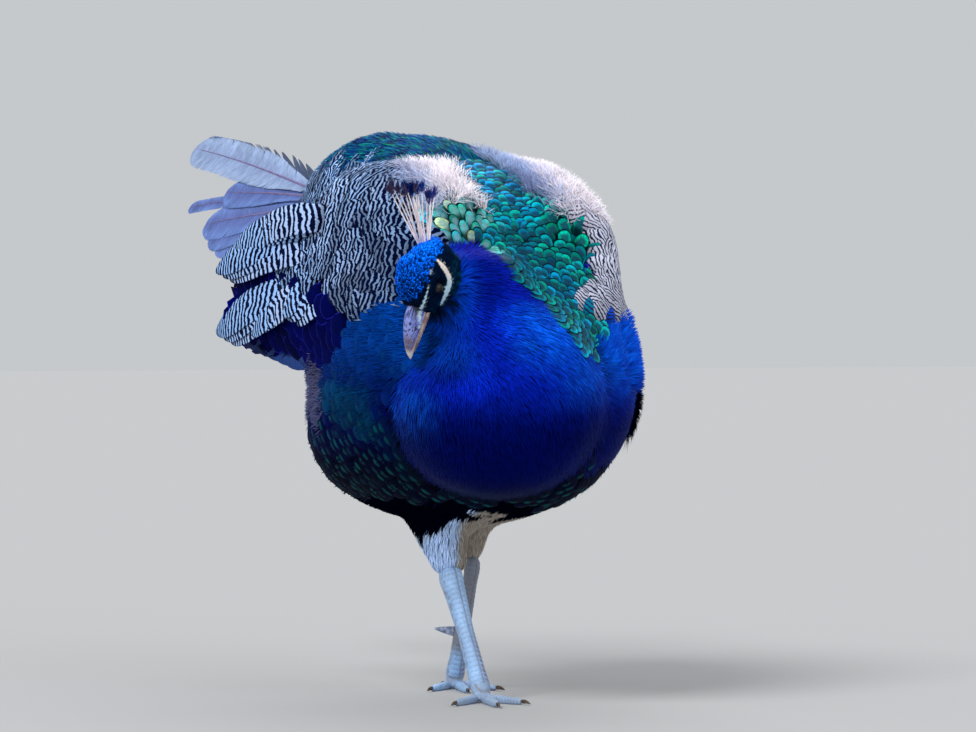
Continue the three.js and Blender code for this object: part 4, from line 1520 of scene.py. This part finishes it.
def bill_half(name, stations, rings, around, ridge, node):
    """One half of the bill; the upper half has a ridge, nostrils, velvet at its root and a pale strip."""
    shares = np.linspace(0, 1, rings)
    at = curve(stations, shares)
    turn = np.linspace(0, 2 * math.pi, around, endpoint=False)
    sideways, upwards = np.cos(turn), np.sin(turn)
    peaked = np.abs(sideways) ** (1 + ridge * (upwards > 0)) * np.sign(sideways)
    height = np.where(upwards > 0, at[:, [3]], at[:, [4]]) * upwards
    outline = np.stack([at[:, [2]] * peaked, height], 2)
    centres = np.stack([np.zeros(rings), at[:, 0], at[:, 1]], 1)
    x_way, z_way = np.tile([1.0, 0, 0], (rings, 1)), np.tile([0, 0, 1.0], (rings, 1))
    first, last = centres[0] + [0, 2, 0], centres[-1] + [0, -1.2, -0.6]
    obj, corners = lathe_like(name, centres, x_way, z_way, outline, first, last)
    if ridge:
        reach = np.hypot((corners[:, 1] - NOSTRIL["y"]) / NOSTRIL["long"],
                         (corners[:, 2] - NOSTRIL["z"]) / NOSTRIL["high"])
        dip = np.exp(-(reach**2)) * NOSTRIL["deep"] - 0.5 * np.exp(-((reach - 1.9) ** 2) * 2)
        corners[:, 0] -= np.sign(corners[:, 0]) * dip * (np.abs(corners[:, 0]) > 2)
        # the nostril's mark, made nearly black in the material as painted shade inside its opening
        point_values(obj.data, "hole", "FLOAT", np.exp(-(reach**2) * 1.4))
    x, y, z = corners.T
    velvet = rising(y - 1.1 * np.abs(z - 5), -37.6, -36.2) * rising(np.abs(x), 2, 4) * (ridge > 0)
    strip = band_share(y, z, BILL_STRIP) * (np.abs(x) > 3) * (ridge > 0)
    point_values(obj.data, "mark", "FLOAT_VECTOR", np.stack([velvet, strip, z * 0 + (ridge > 0)], 1))
    point_values(obj.data, "place", "FLOAT_VECTOR", corners)
    move_to_head(obj, corners)
    place_piece(obj, "bill_horn", BILL_HORN, node)


BILL_TINTS = dict(
    lavender=srgb(140, 156, 226),
    violet=srgb(100, 112, 188),
    stripe=srgb(34, 34, 76),
    buff=srgb(214, 190, 166),
    brown=srgb(150, 116, 98),
    dusk=srgb(104, 80, 80),
    gape=srgb(226, 206, 188),
    tip=srgb(226, 216, 206),
    # painted shade inside the nostril's opening
    nostril=srgb(24, 18, 24),
)


def bill_material():
    """Lavender horn with dark stripes along it, brown towards the pale tip."""
    nodes = Nodes("bill")
    horn = {name: colour4(tint) for name, tint in BILL_TINTS.items()}
    place = nodes.attribute("place")
    x, y, z = nodes.split(place)
    velvet, strip, upper = nodes.split(nodes.attribute("mark"))
    grain = nodes.noise(nodes.join(nodes.times(x, 0.8), nodes.times(y, 0.07), nodes.times(z, 0.8)), 1.0, 3.0)
    blotch = nodes.step(nodes.noise(place, 0.16, 3.0), 0.35, 0.65)
    tint = nodes.mix(blotch, horn["lavender"], horn["violet"])
    tint = nodes.mix(nodes.step(grain, 0.5, 0.6), tint, horn["stripe"])
    tint = nodes.mix(upper, nodes.mix(blotch, horn["buff"], horn["brown"]), tint)
    brown = nodes.times(nodes.step(y, -54.0, -64.0), nodes.step(grain, 0.3, 0.55, 0.5, 1.0))
    tint = nodes.mix(nodes.times(brown, 0.8), tint, horn["dusk"])
    rim = nodes.step(nodes.math("ADD", z, nodes.times(y, -0.16)), 3.4, 1.4)
    tint = nodes.mix(nodes.times(nodes.times(rim, upper), 0.8), tint, horn["gape"])
    tint = nodes.mix(nodes.step(y, -68.0, -74.0), tint, horn["tip"])
    tint = nodes.mix(strip, tint, colour4(TINTS["bare"]))
    tint = nodes.mix(velvet, tint, colour4(TINTS["face"]))
    tint = nodes.scaled(tint, nodes.step(grain, 0.3, 0.7, 0.85, 1.1))
    # painted shade: the nostril's opening nearly black
    tint = nodes.mix(nodes.attribute("hole", "Fac"), tint, horn["nostril"])
    nodes.bump(grain, 0.3)
    return nodes.finish(tint, 0.3, gloss=0.5)


BILL_HORN = bill_material()
bill_half("bill_top", UPPER_BILL, 56, 40, 0.35, "bill_upper")
bill_half("bill_below", LOWER_BILL, 40, 28, 0.0, "bill_lower")

CORNEA = {"proud": 0.45, "angle": 0.52}


def eye_material():
    """A black pupil and a brown iris of fine fibres under a clear coat."""
    nodes = Nodes("eye")
    polar, turn, _ = nodes.split(nodes.attribute("place"))
    fibre = nodes.noise(nodes.join(nodes.times(turn, 5.0), polar, 0.0), 2.0, 3.0)
    iris = nodes.mix(nodes.step(fibre, 0.3, 0.7), colour4(srgb(14, 9, 9)), colour4(srgb(36, 22, 16)))
    tint = nodes.mix(nodes.step(polar, 0.25, 0.31), colour4(srgb(4, 4, 5)), iris)
    tint = nodes.mix(nodes.step(polar, 0.62, 0.72), tint, colour4(srgb(14, 10, 10)))
    nodes.shader.inputs["Coat Weight"].default_value = 0.25
    nodes.shader.inputs["Coat Roughness"].default_value = 0.02
    return nodes.finish(tint, 0.14, gloss=0.2)


def eyeball(name, side, material):
    """A ball with a slightly proud cornea; its rings run round the line of sight."""
    rings, around = 22, 36
    polar = np.linspace(0, math.pi, rings + 2)
    turn = np.linspace(0, 2 * math.pi, around, endpoint=False)
    radius = EYE["radius"] + CORNEA["proud"] * np.exp(-((polar / CORNEA["angle"]) ** 2))
    level = np.ones(len(polar))
    centres = np.stack([side * (EYE["x"] + radius * np.cos(polar)), EYE["y"] * level, EYE["z"] * level], 1)
    size = (radius * np.sin(polar))[1:-1, None]
    outline = np.stack([size * np.cos(turn), size * np.sin(turn)], 2)
    y_way, z_way = np.tile([0, 1.0, 0], (rings, 1)), np.tile([0, 0, 1.0], (rings, 1))
    obj, corners = lathe_like(name, centres[1:-1], y_way, z_way, outline, centres[0], centres[-1])
    angles = np.concatenate([np.repeat(polar[1:-1], around), [0, math.pi]])
    turns = np.concatenate([np.tile(turn, rings), [0, 0]])
    point_values(obj.data, "place", "FLOAT_VECTOR", np.stack([angles, turns, turns * 0], 1))
    move_to_head(obj, corners)
    place_piece(obj, "eye", material, f"eye_{name.split('_')[1]}")


EYE_GLOSS = eye_material()
for side_name, side_sign in SIDES.items():
    eyeball(f"eyeball_{side_name}", side_sign, EYE_GLOSS)

# ---------------------------------------------------------------- crest
# Lengths in millimetres; low and high are the fan's first and last angles in degrees.
CREST = {
    "root": (3, 27, 14), "aside": -12, "low": 22, "high": 57, "short": 33, "long": 62, "count": 17,
    # two colours of each fan's barbs, from the rearmost one on
    "tips": [((104, 90, 176), (60, 60, 140)), ((20, 70, 170), (40, 50, 130)), ((14, 50, 150), (6, 20, 80)),
             ((96, 84, 120), (60, 56, 100))],
}


def crest_line(share, rng):
    """One shaft's path in the head's frame, from the rearmost at share 0 to the foremost at 1."""
    along = np.linspace(0, 1, 8)
    angle = math.radians(CREST["low"] + (CREST["high"] - CREST["low"]) * share + rng.normal(0, 1.2))
    length = CREST["short"] + (CREST["long"] - CREST["short"]) * share**0.6 + rng.uniform(-5, 3)
    lean = rng.normal(0, 0.12)
    way = unit([math.sin(lean), math.cos(angle) * math.cos(lean), math.sin(angle) * math.cos(lean)])
    bend = np.cross([1.0, 0, 0], way) * rng.normal(0, 2.2) + np.array([rng.normal(0, 1.5), 0, 0])
    aside = CREST["aside"] * share + rng.uniform(-1.5, 1.5)
    spot = CREST["root"] + np.array([aside, 3 - 5 * share, 2 * share])
    return spot + way * (along * length)[:, None] + bend * (along**2)[:, None], along, length


def grow_crest():
    """A fan of bare pale shafts with a small blue vane at each tip, in the head's middle plane."""
    shafts = Coat("crest_shafts", "crest", crest_material(False))
    tips = Coat("crest_tips", "crest", crest_material(True))
    rng = np.random.default_rng(41)
    for share in np.linspace(0, 1, CREST["count"]):
        line, along, length = crest_line(share, rng)
        path = from_head(line)
        normal = np.tile(HEAD_AXES[0], (len(path), 1))
        thick = (0.8 - 0.36 * along[:-1])[None]
        pale = TINTS["cream"] * rng.uniform(0.95, 1.15)
        root = skin_uv(path[:1])
        shafts.add(path[None], normal[None], thick, 1.3, 5, along, np.array([length]), pale[None],
                   root, rng.random(1))
        side_barbs(shafts, path, normal, root, rng)
        crest_fan(tips, path, root, CREST["tips"][min(int(share * 4), 3)], rng)
    shafts.finish()
    tips.finish()
    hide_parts("crest")


def skin_uv(points):
    """The skin's unwrapped places nearest to some points."""
    return np.array([skin.uv[skin.tree.find_nearest(p)[2]].mean(0) for p in points.tolist()])


def side_barbs(coat, path, normal, root, rng):
    """Short loose barbs along the lower shaft."""
    ahead = unit(path[-1] - path[0])
    across = np.cross(ahead, normal[0])
    count = 22
    at = rng.uniform(0.2, 0.95, count)
    roots = curve(path, at)
    hand = rng.choice([-1, 1], count)[:, None]
    way = unit(ahead * 1.2 + across * hand + normal[0] * rng.normal(0, 0.5, (count, 1)))
    shares = np.array([0, 0.5, 1.0])
    reach = rng.uniform(1.4, 3.0, count)
    paths = roots[:, None] + way[:, None] * (shares * reach[:, None])[..., None]
    normals = np.tile(normal[0], (count, 3, 1))
    half = np.tile([0.2, 0.14], (count, 1))
    tint = np.tile(TINTS["cream"], (count, 1))
    coat.add(paths, normals, half, 0.8, 3, shares, reach, tint, np.tile(root, (count, 1)), rng.random(count))


def crest_fan(coat, path, root, colours, rng):
    """A small vane of fine barbs, like a brush that widens to its end."""
    ahead = unit(path[-1] - path[-2])
    across = np.cross(HEAD_AXES[0], ahead)
    count = 34
    hand = np.linspace(-1, 1, count) + rng.normal(0, 0.06, count)
    angle = (hand * math.radians(34))[:, None]
    outwards = HEAD_AXES[0] * rng.normal(0, 0.16, (count, 1))
    way = unit(ahead * np.cos(angle) + across * np.sin(angle) + outwards)
    shares = np.array([0, 0.35, 0.7, 1.0])
    reach = 11.5 - 2.4 * np.abs(hand) + rng.uniform(-1.4, 0.8, count)
    start = curve(path, 0.9 + 0.1 * rng.random(count))
    paths = start[:, None] + way[:, None] * (shares * reach[:, None])[..., None]
    normals = np.tile(HEAD_AXES[0], (count, 4, 1))
    half = np.tile([0.2, 0.34, 0.3], (count, 1))
    tint = mixed(*(srgb(*level) for level in colours), rng.random(count))
    coat.add(paths, normals, half, 0.35, 3, shares, reach, tint, np.tile(root, (count, 1)), rng.random(count))


def crest_material(blue):
    nodes = FeatherNodes("crest_tip" if blue else "crest_shaft")
    tint = nodes.tint
    if blue:
        tint = nodes.mix(nodes.step(nodes.along, 0.0, 0.4, 0.7, 0.0), tint, colour4(srgb(110, 92, 96)))
    light = nodes.noise(nodes.join(nodes.across, nodes.times(nodes.along, 6.0), nodes.chance), 1.4, 2.0)
    nodes.bump(light, 0.2)
    return nodes.finish(nodes.scaled(tint, nodes.step(light, 0.3, 0.7, 0.8, 1.15)), 0.5, 0.3 if blue else 0.0)


# ---------------------------------------------------------------- long wing feathers
# Paths (x, y, z) from root to tip on the left wing, mirrored on the right, and the widest half width.
TERTIALS = [
    {"path": [(128, 40, 396), (142, 74, 380), (149, 98, 360)], "half": 17},
    {"path": [(132, 70, 390), (147, 126, 366), (151, 164, 343)], "half": 20},
    {"path": [(134, 70, 386), (146, 140, 378), (150, 205, 358), (152, 242, 345)], "half": 20},
    {"path": [(130, 66, 444), (138, 126, 444), (144, 176, 436), (147, 214, 424)], "half": 17},
    {"path": [(132, 84, 430), (141, 140, 430), (148, 200, 418), (151, 245, 404)], "half": 18},
]
LONG_TIP = [(0, 0.6), (0.12, 0.8), (0.3, 0.96), (0.5, 1), (0.64, 0.96), (0.76, 0.85), (0.86, 0.66),
            (0.94, 0.42), (0.985, 0.2), (1, 0)]
SECONDARIES = {"count": 7, "first": [(126, 44, 330), (134, 92, 322), (139, 132, 315)],
               "last": [(136, 120, 352), (146, 186, 346), (150, 234, 342)], "half": 13}


def long_feather(coat, path, half, outward, seed, tint):
    """One closed vane along a path; each has a cell of its own in the baked picture."""
    shares, profile = np.array(LONG_TIP).T
    line = curve(path, shares)
    length = np.linalg.norm(np.diff(line, axis=0), axis=1).sum()
    normals = np.tile(unit(outward), (len(line), 1))
    cell = np.array([[0.09 + 0.16 * (coat.count % 6), 0.09 + 0.16 * (coat.count // 6 % 6)]])
    coat.count += 1
    coat.add(line[None], normals[None], half * profile[None, :-1], 0.16, 9, shares, np.array([length]),
             tint[None], cell, np.array([seed]))


def grow_tertials(coat, side):
    """Each long barred feather with two more that show behind its edge."""
    for i, feather in enumerate(TERTIALS):
        for layer in range(3):
            path = np.array(feather["path"], float) - [1.6 * layer - 7, 13 * layer, (4 - i % 2 * 8) * layer]
            path[0, 0] -= 9
            path = path * [side, 1, 1]
            tint = mixed(TINTS["ice"], TINTS["cream"], 0.04 + 0.08 * layer)
            long_feather(coat, path, feather["half"], [side, 0, 0.28], 0.13 * i + 0.31 * layer, tint)


def grow_secondaries(coat, side):
    first, last = np.array(SECONDARIES["first"], float), np.array(SECONDARIES["last"], float)
    for i in range(SECONDARIES["count"]):
        share = i / (SECONDARIES["count"] - 1)
        path = (first + (last - first) * share) * [side, 1, 1] - [side * 2.5 * (1 - share), 0, 0]
        tint = mixed(TINTS["slate"], TINTS["brown"], cloud(path[:1], 7, i)[0] * 0.8)
        long_feather(coat, path, SECONDARIES["half"], [side, 0, -0.1 + 0.2 * share], 0.17 * i, tint)


# ---------------------------------------------------------------- tail
TAIL_BARB = {"step": 1.5, "slant": 0.75, "shadow": srgb(84, 88, 146), "shaft": srgb(128, 118, 158)}
TAIL_RIDGE = {True: -1, False: 1}  # the hand of the upper vane, by the way its frame faces
FRAYED = "tail_feather_left_1"


class TailFeather:
    """The frame of a tail feather of the CAD: root, length, half width, ways and bow."""

    def __init__(self, node, pair):
        corners = node_shape(node)[0]
        middle = corners.mean(0)
        along, _, face = np.linalg.svd(corners - middle)[2]
        along, face = along * np.sign(along[1]), face * np.sign(face[2] + 1e-6)
        self.node, self.pair = node, pair
        self.along, self.face, self.across = along, face, np.cross(along, face)
        reach, aside, height = ((corners - middle) @ np.stack([along, self.across, face]).T).T
        self.start = reach.min()
        self.length, self.half = np.ptp(reach), np.ptp(aside) / 2
        self.middle = middle + self.across * (aside.min() + aside.max()) / 2
        self.bow = np.polyfit(reach, height, 2)

    def spine(self, reach):
        """Points on the shaft at distances from the root."""
        own = reach + self.start
        curved = self.along * own[..., None] + self.face * np.polyval(self.bow, own)[..., None]
        return self.middle + curved

    def outline(self, reach):
        """Half width at distances from the root."""
        swell = self.half * (0.25 + 0.75 * rising(reach, -20, 120))
        end = np.clip((self.length - reach) / (self.half * (1.7 if self.pair == 1 else 1.15)), 0, 1)
        return np.minimum(swell, self.half * np.sqrt(end * (2 - end)))


def barb_ends(feather, at, slant):
    """How far from the root each barb ends: further out on the vane means further on."""
    end = at
    for _ in range(6):
        end = np.minimum(at + slant * feather.outline(end), feather.length)
    return end


def tail_vane(coat, feather, hand, seed, rng):
    """Barbs in groups along one side of a shaft; the groups part at their ends."""
    length, step = feather.length, TAIL_BARB["step"]
    shares = np.array([0, 0.35, 0.7, 0.92, 1.0])
    at = np.arange(3, length - 1, step)
    bounds = np.cumsum(rng.uniform(9, 26, 60))
    group = np.searchsorted(bounds, at)
    middle = (bounds[group] + np.concatenate([[0], bounds])[group]) / 2
    parted = hashed(np.stack([group, group * 0 + hand, group * 0 + seed], 1), 5)
    frayed = feather.node == FRAYED and hand == TAIL_RIDGE[np.sign(feather.across[0]) > 0]
    loose = frayed * rising(-at, -0.66 * length, -0.5 * length)
    slant = TAIL_BARB["slant"] * (0.95 + 0.1 * parted) * (1 - 1.5 * loose)
    end = barb_ends(feather, at, slant + 0.5 * rising(at, 0.8 * length, length))
    wide = feather.outline(end) * (1 - 0.06 * parted - 0.1 * np.abs(rng.normal(0, 0.2, len(at))))
    end = end + (middle - at) * (0.02 + 0.04 * parted + 0.8 * loose)
    aside = wide[:, None] * shares
    onward = (end - at)[:, None] * shares * (0.55 + 0.45 * shares)
    sag = -0.1 * aside**2 / feather.half
    lifted = sag + (0.3 + 2.2 * loose[:, None] * parted[:, None]) * parted[:, None] * shares
    paths = feather.spine(at[:, None] + onward)
    paths = paths + feather.across * hand * aside[..., None] + feather.face * lifted[..., None]
    normals = np.tile(feather.face, (len(at), len(shares), 1))
    width = np.tile([1.25, 1.2, 1.05, 0.7], (len(at), 1)) * step * 0.62
    light = 0.85 + 0.3 * cloud(np.stack([at / 9, at * 0 + hand, at * 0 + seed], 1), 1.0, seed)
    tint = mixed(TINTS["lavender"] * 0.62, TINTS["pale"] * 0.74, 0.85 * (feather.pair == 1))
    tint = np.repeat((tint * light[:, None])[:, None], 4 * 3 + 1, 1)
    out = np.concatenate([np.repeat(shares[:4], 3), [1.0]])
    shadow = rising(-out, -0.85, -0.1) * (0.6 if feather.pair > 1 else 0.2)
    tint = mixed(tint, TAIL_BARB["shadow"], shadow[None, :, None])
    run = np.hypot(wide, end - at)
    roots = tail_uv(paths[:, 0], feather.node)
    coat.add(paths, normals, width, 0.3, 3, shares, run, tint, roots, at / length)


def tail_feather(vanes, shafts, feather, seed):
    """Both vanes of a tail feather, and its shaft."""
    rng = np.random.default_rng(seed)
    for hand in (-1, 1):
        tail_vane(vanes, feather, hand, seed, rng)
    at = np.linspace(0, 0.97, 14)
    line = feather.spine(at * feather.length) + feather.face * 0.5
    thick = (1.4 - 1.15 * at[:-1])[None]
    shafts.add(line[None], np.tile(feather.face, (1, 14, 1)), thick, 0.9, 5, at / 0.97,
               np.array([feather.length]), TAIL_BARB["shaft"][None], tail_uv(line[:1], feather.node),
               np.array([seed / 13]))


def tail_uv(points, node):
    low, high = (np.array(corner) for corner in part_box(node))
    spot = (points * MM + ORIGIN - low) / np.maximum(high - low, 1e-3)
    return 0.05 + 0.9 * spot[:, [0, 1]]


def grow_tail():
    """Vanes and shafts for all twelve tail feathers."""
    vanes = Coat("tail_vanes", "tail_grey", tail_material())
    shafts = Coat("tail_shafts", "tail_grey", tail_material())
    nodes = []
    for side in SIDES:
        for pair in range(1, 7):
            nodes.append(f"tail_feather_{side}_{pair}")
            tail_feather(vanes, shafts, TailFeather(nodes[-1], pair), len(nodes))
    for coat in (vanes, shafts):
        coat.finish()
    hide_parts(*nodes)


def tail_material():
    nodes = FeatherNodes("tail")
    streak = nodes.lumps(1.4, 0.1, nodes.seed, 3.0)
    tint = nodes.scaled(nodes.tint, nodes.step(streak, 0.3, 0.7, 0.72, 1.12))
    nodes.bump(streak, 0.3)
    return nodes.finish(tint, 0.6, 0.0, 0.1)


# ---------------------------------------------------------------- legs
LEG_STEP = 0.95
LEG_PARTS = ["tarsus", "toe_middle", "toe_inner", "toe_outer", "toe_hind"]


def leg_axis(side):
    """Ball and hock of a leg, from its shank's own corners."""
    corners = node_shape(f"tarsus_{side}")[0]
    low = corners[corners[:, 2] < corners[:, 2].min() + 16].mean(0)
    high = corners[corners[:, 2] > corners[:, 2].max() - 14].mean(0)
    return low, high


# Relief and colour of the scales: spacing and depth in millimetres.
SCUTE = {"spacing": 5.2, "deep": 0.55, "seam": 0.10, "sunk": 0.35}
TOE_SCUTE = 3.6
SOLE = {"low": 0.4, "high": 2.4, "floor": 0.05}
LEG_TINTS = dict(
    # tan: partly the far shank's own colour, partly painted shade
    tan=srgb(116, 104, 98),
    row=srgb(108, 96, 122),
    groove=srgb(112, 100, 98),
    toes=srgb(150, 148, 150),
)


def ridges(turns):
    """Rounded ridges with a narrow groove at each whole number of turns, in 0..1."""
    return np.abs(np.sin(math.pi * turns)) ** 0.4


def make_leg(side, material):
    """A shank and toes in one piece, with scutes in front and on the toes, and pebbles behind."""
    nodes = [f"{part}_{side}" for part in LEG_PARTS]
    corners, faces = grown_union(nodes, LEG_STEP)
    edges = edges_of(faces)
    corners = relaxed(corners, edges, 14, 0.6)
    normals = relaxed(corner_normals(corners, faces), edges, 3)
    ball, hock = leg_axis(side)
    axis = unit(hock - ball)
    from_ball = corners - ball
    up_leg = from_ball @ axis
    ahead = unit(np.array([0, -1.0, 0]) - axis * -axis[1])
    around = np.arctan2(from_ball @ np.cross(axis, ahead), from_ball @ ahead)
    out = np.linalg.norm(corners[:, :2] - ball[:2], axis=1)
    shank = rising(up_leg, 4, 12)
    front = rising(np.cos(around), 0.0, 0.5)
    scute = ridges(up_leg / SCUTE["spacing"] + 0.5 * (around > 0))
    seam = 1 - np.exp(-((around / SCUTE["seam"]) ** 2))
    pebbles = cloud(corners, 2.6, 15)
    shank_height = front * (SCUTE["deep"] * scute * seam) + (1 - front) * 0.5 * pebbles
    toe_height = SCUTE["deep"] * ridges(out / TOE_SCUTE) * rising(normals[:, 2], 0.1, 0.6) + 0.25 * pebbles
    height = shank_height * shank + toe_height * (1 - shank) - SCUTE["sunk"]
    sole = rising(corners[:, 2], SOLE["low"], SOLE["high"])
    corners = corners + normals * (height * sole)[:, None]
    corners[:, 2] = np.maximum(corners[:, 2], SOLE["floor"])
    on_toes = np.abs(np.sin(math.pi * out / TOE_SCUTE))
    relief = np.where(shank > 0.5, np.where(front > 0.5, scute * seam, pebbles), on_toes)
    obj = triangle_object(f"leg_{side}", corners, faces)
    tint = mixed(TINTS["shank"], TINTS["shank"] * 0.7, cloud(corners, 9, 17))
    dark_row = front * shank * np.exp(-(((around - 0.45) / 0.42) ** 2)) * rising(-up_leg, -78, -40)
    # tan on the far leg's upper shank is partly its own colour and partly painted shade
    for name, share in (("tan", rising(up_leg, 26, 44) * (0.75 if side == "left" else 0.1)),
                        ("row", dark_row * (scute > 0.72) * 0.85),
                        ("groove", np.clip(1 - relief, 0, 1) ** 2 * 0.75),
                        ("toes", (1 - shank) * 0.35)):
        tint = mixed(tint, LEG_TINTS[name], share)
    point_values(obj.data, "tint", "FLOAT_COLOR", with_alpha(tint))
    place_piece(obj, "leg_scales", material, *nodes)


def leg_material():
    nodes = Nodes("leg")
    spot = nodes.add("ShaderNodeNewGeometry")
    grain = nodes.noise(spot, 700.0, 3.0)
    light = nodes.step(grain, 0.3, 0.7, 0.85, 1.08)
    nodes.bump(grain, 0.35, 0.0003)
    return nodes.finish(nodes.scaled(nodes.attribute("tint", "Color"), light), 0.5, gloss=0.35)


def horn_material(name, dark, pale):
    nodes = Nodes(name)
    spot = nodes.add("ShaderNodeNewGeometry")
    grain = nodes.noise(spot, 260.0, 4.0)
    nodes.bump(grain, 0.3, 0.0003)
    return nodes.finish(nodes.mix(nodes.step(grain, 0.35, 0.65), colour4(dark), colour4(pale)), 0.4)


def smooth_copy(node, name, slot, material):
    """A rounded copy of a small CAD body."""
    corners, faces = node_shape(node)
    obj = triangle_object(name, corners, faces)
    fix_facing(obj)
    subdivide = obj.modifiers.new("round", "SUBSURF")
    subdivide.levels = 2
    subdivide.render_levels = 2
    place_piece(obj, slot, material, node)


def make_legs():
    scales = leg_material()
    claws = horn_material("claw", srgb(62, 52, 48), srgb(104, 92, 84))
    spurs = horn_material("spur", srgb(104, 116, 146), srgb(168, 178, 200))
    for side in SIDES:
        make_leg(side, scales)
        smooth_copy(f"spur_{side}", f"spur_horn_{side}", "claw_horn", spurs)
        for toe in ("middle", "inner", "outer", "hind"):
            smooth_copy(f"claw_{toe}_{side}", f"claw_horn_{toe}_{side}", "claw_horn", claws)


dress_skin()
grow_neck()
grow_breast()
grow_mantle()
grow_wings()
grow_rump()
grow_fluff()
grow_head()
grow_crest()
grow_tail()
make_legs()


# ---------------------------------------------------------------- studio
# Soft suns: (way to the sun, strength, angle of its disc in degrees, colour).
SUNS = [
    ((-0.68, -0.25, 0.8), 2.1, 28, (0.97, 0.98, 1)),
    ((0.2, -0.9, 0.35), 0.7, 50, (0.88, 0.94, 1)),
    ((0.33, 0.62, 0.7), 1.0, 35, (0.97, 0.98, 1)),
]
STUDIO = {"sky": 0.6, "floor": 0.44, "reach": 30000}


def make_studio():
    """A plain pale floor, a pale sky and three soft suns."""
    world = bpy.data.worlds.new("studio")
    bpy.context.scene.world = world
    world.use_nodes = True
    world.node_tree.nodes["Background"].inputs["Color"].default_value = (0.94, 0.97, 1, 1)
    world.node_tree.nodes["Background"].inputs["Strength"].default_value = STUDIO["sky"]
    bpy.context.scene.view_settings.view_transform = "Standard"
    r = STUDIO["reach"]
    corners = np.array([(-r, -r, 0), (r, -r, 0), (r, r, 0), (-r, r, 0)], float)
    floor = mesh_object("floor", corners, np.arange(4), np.array([4]))
    nodes = Nodes("floor")
    floor.data.materials.append(nodes.finish((STUDIO["floor"],) * 3 + (1,), 0.8))
    for number, (way, strength, angle, colour) in enumerate(SUNS, 1):
        light = bpy.data.lights.new(f"sun_{number}", "SUN")
        light.energy = strength
        light.angle = math.radians(angle)
        light.color = colour
        lamp = bpy.data.objects.new(light.name, light)
        lamp.rotation_euler = Vector(way).to_track_quat("Z", "Y").to_euler()
        bpy.context.scene.collection.objects.link(lamp)


make_studio()
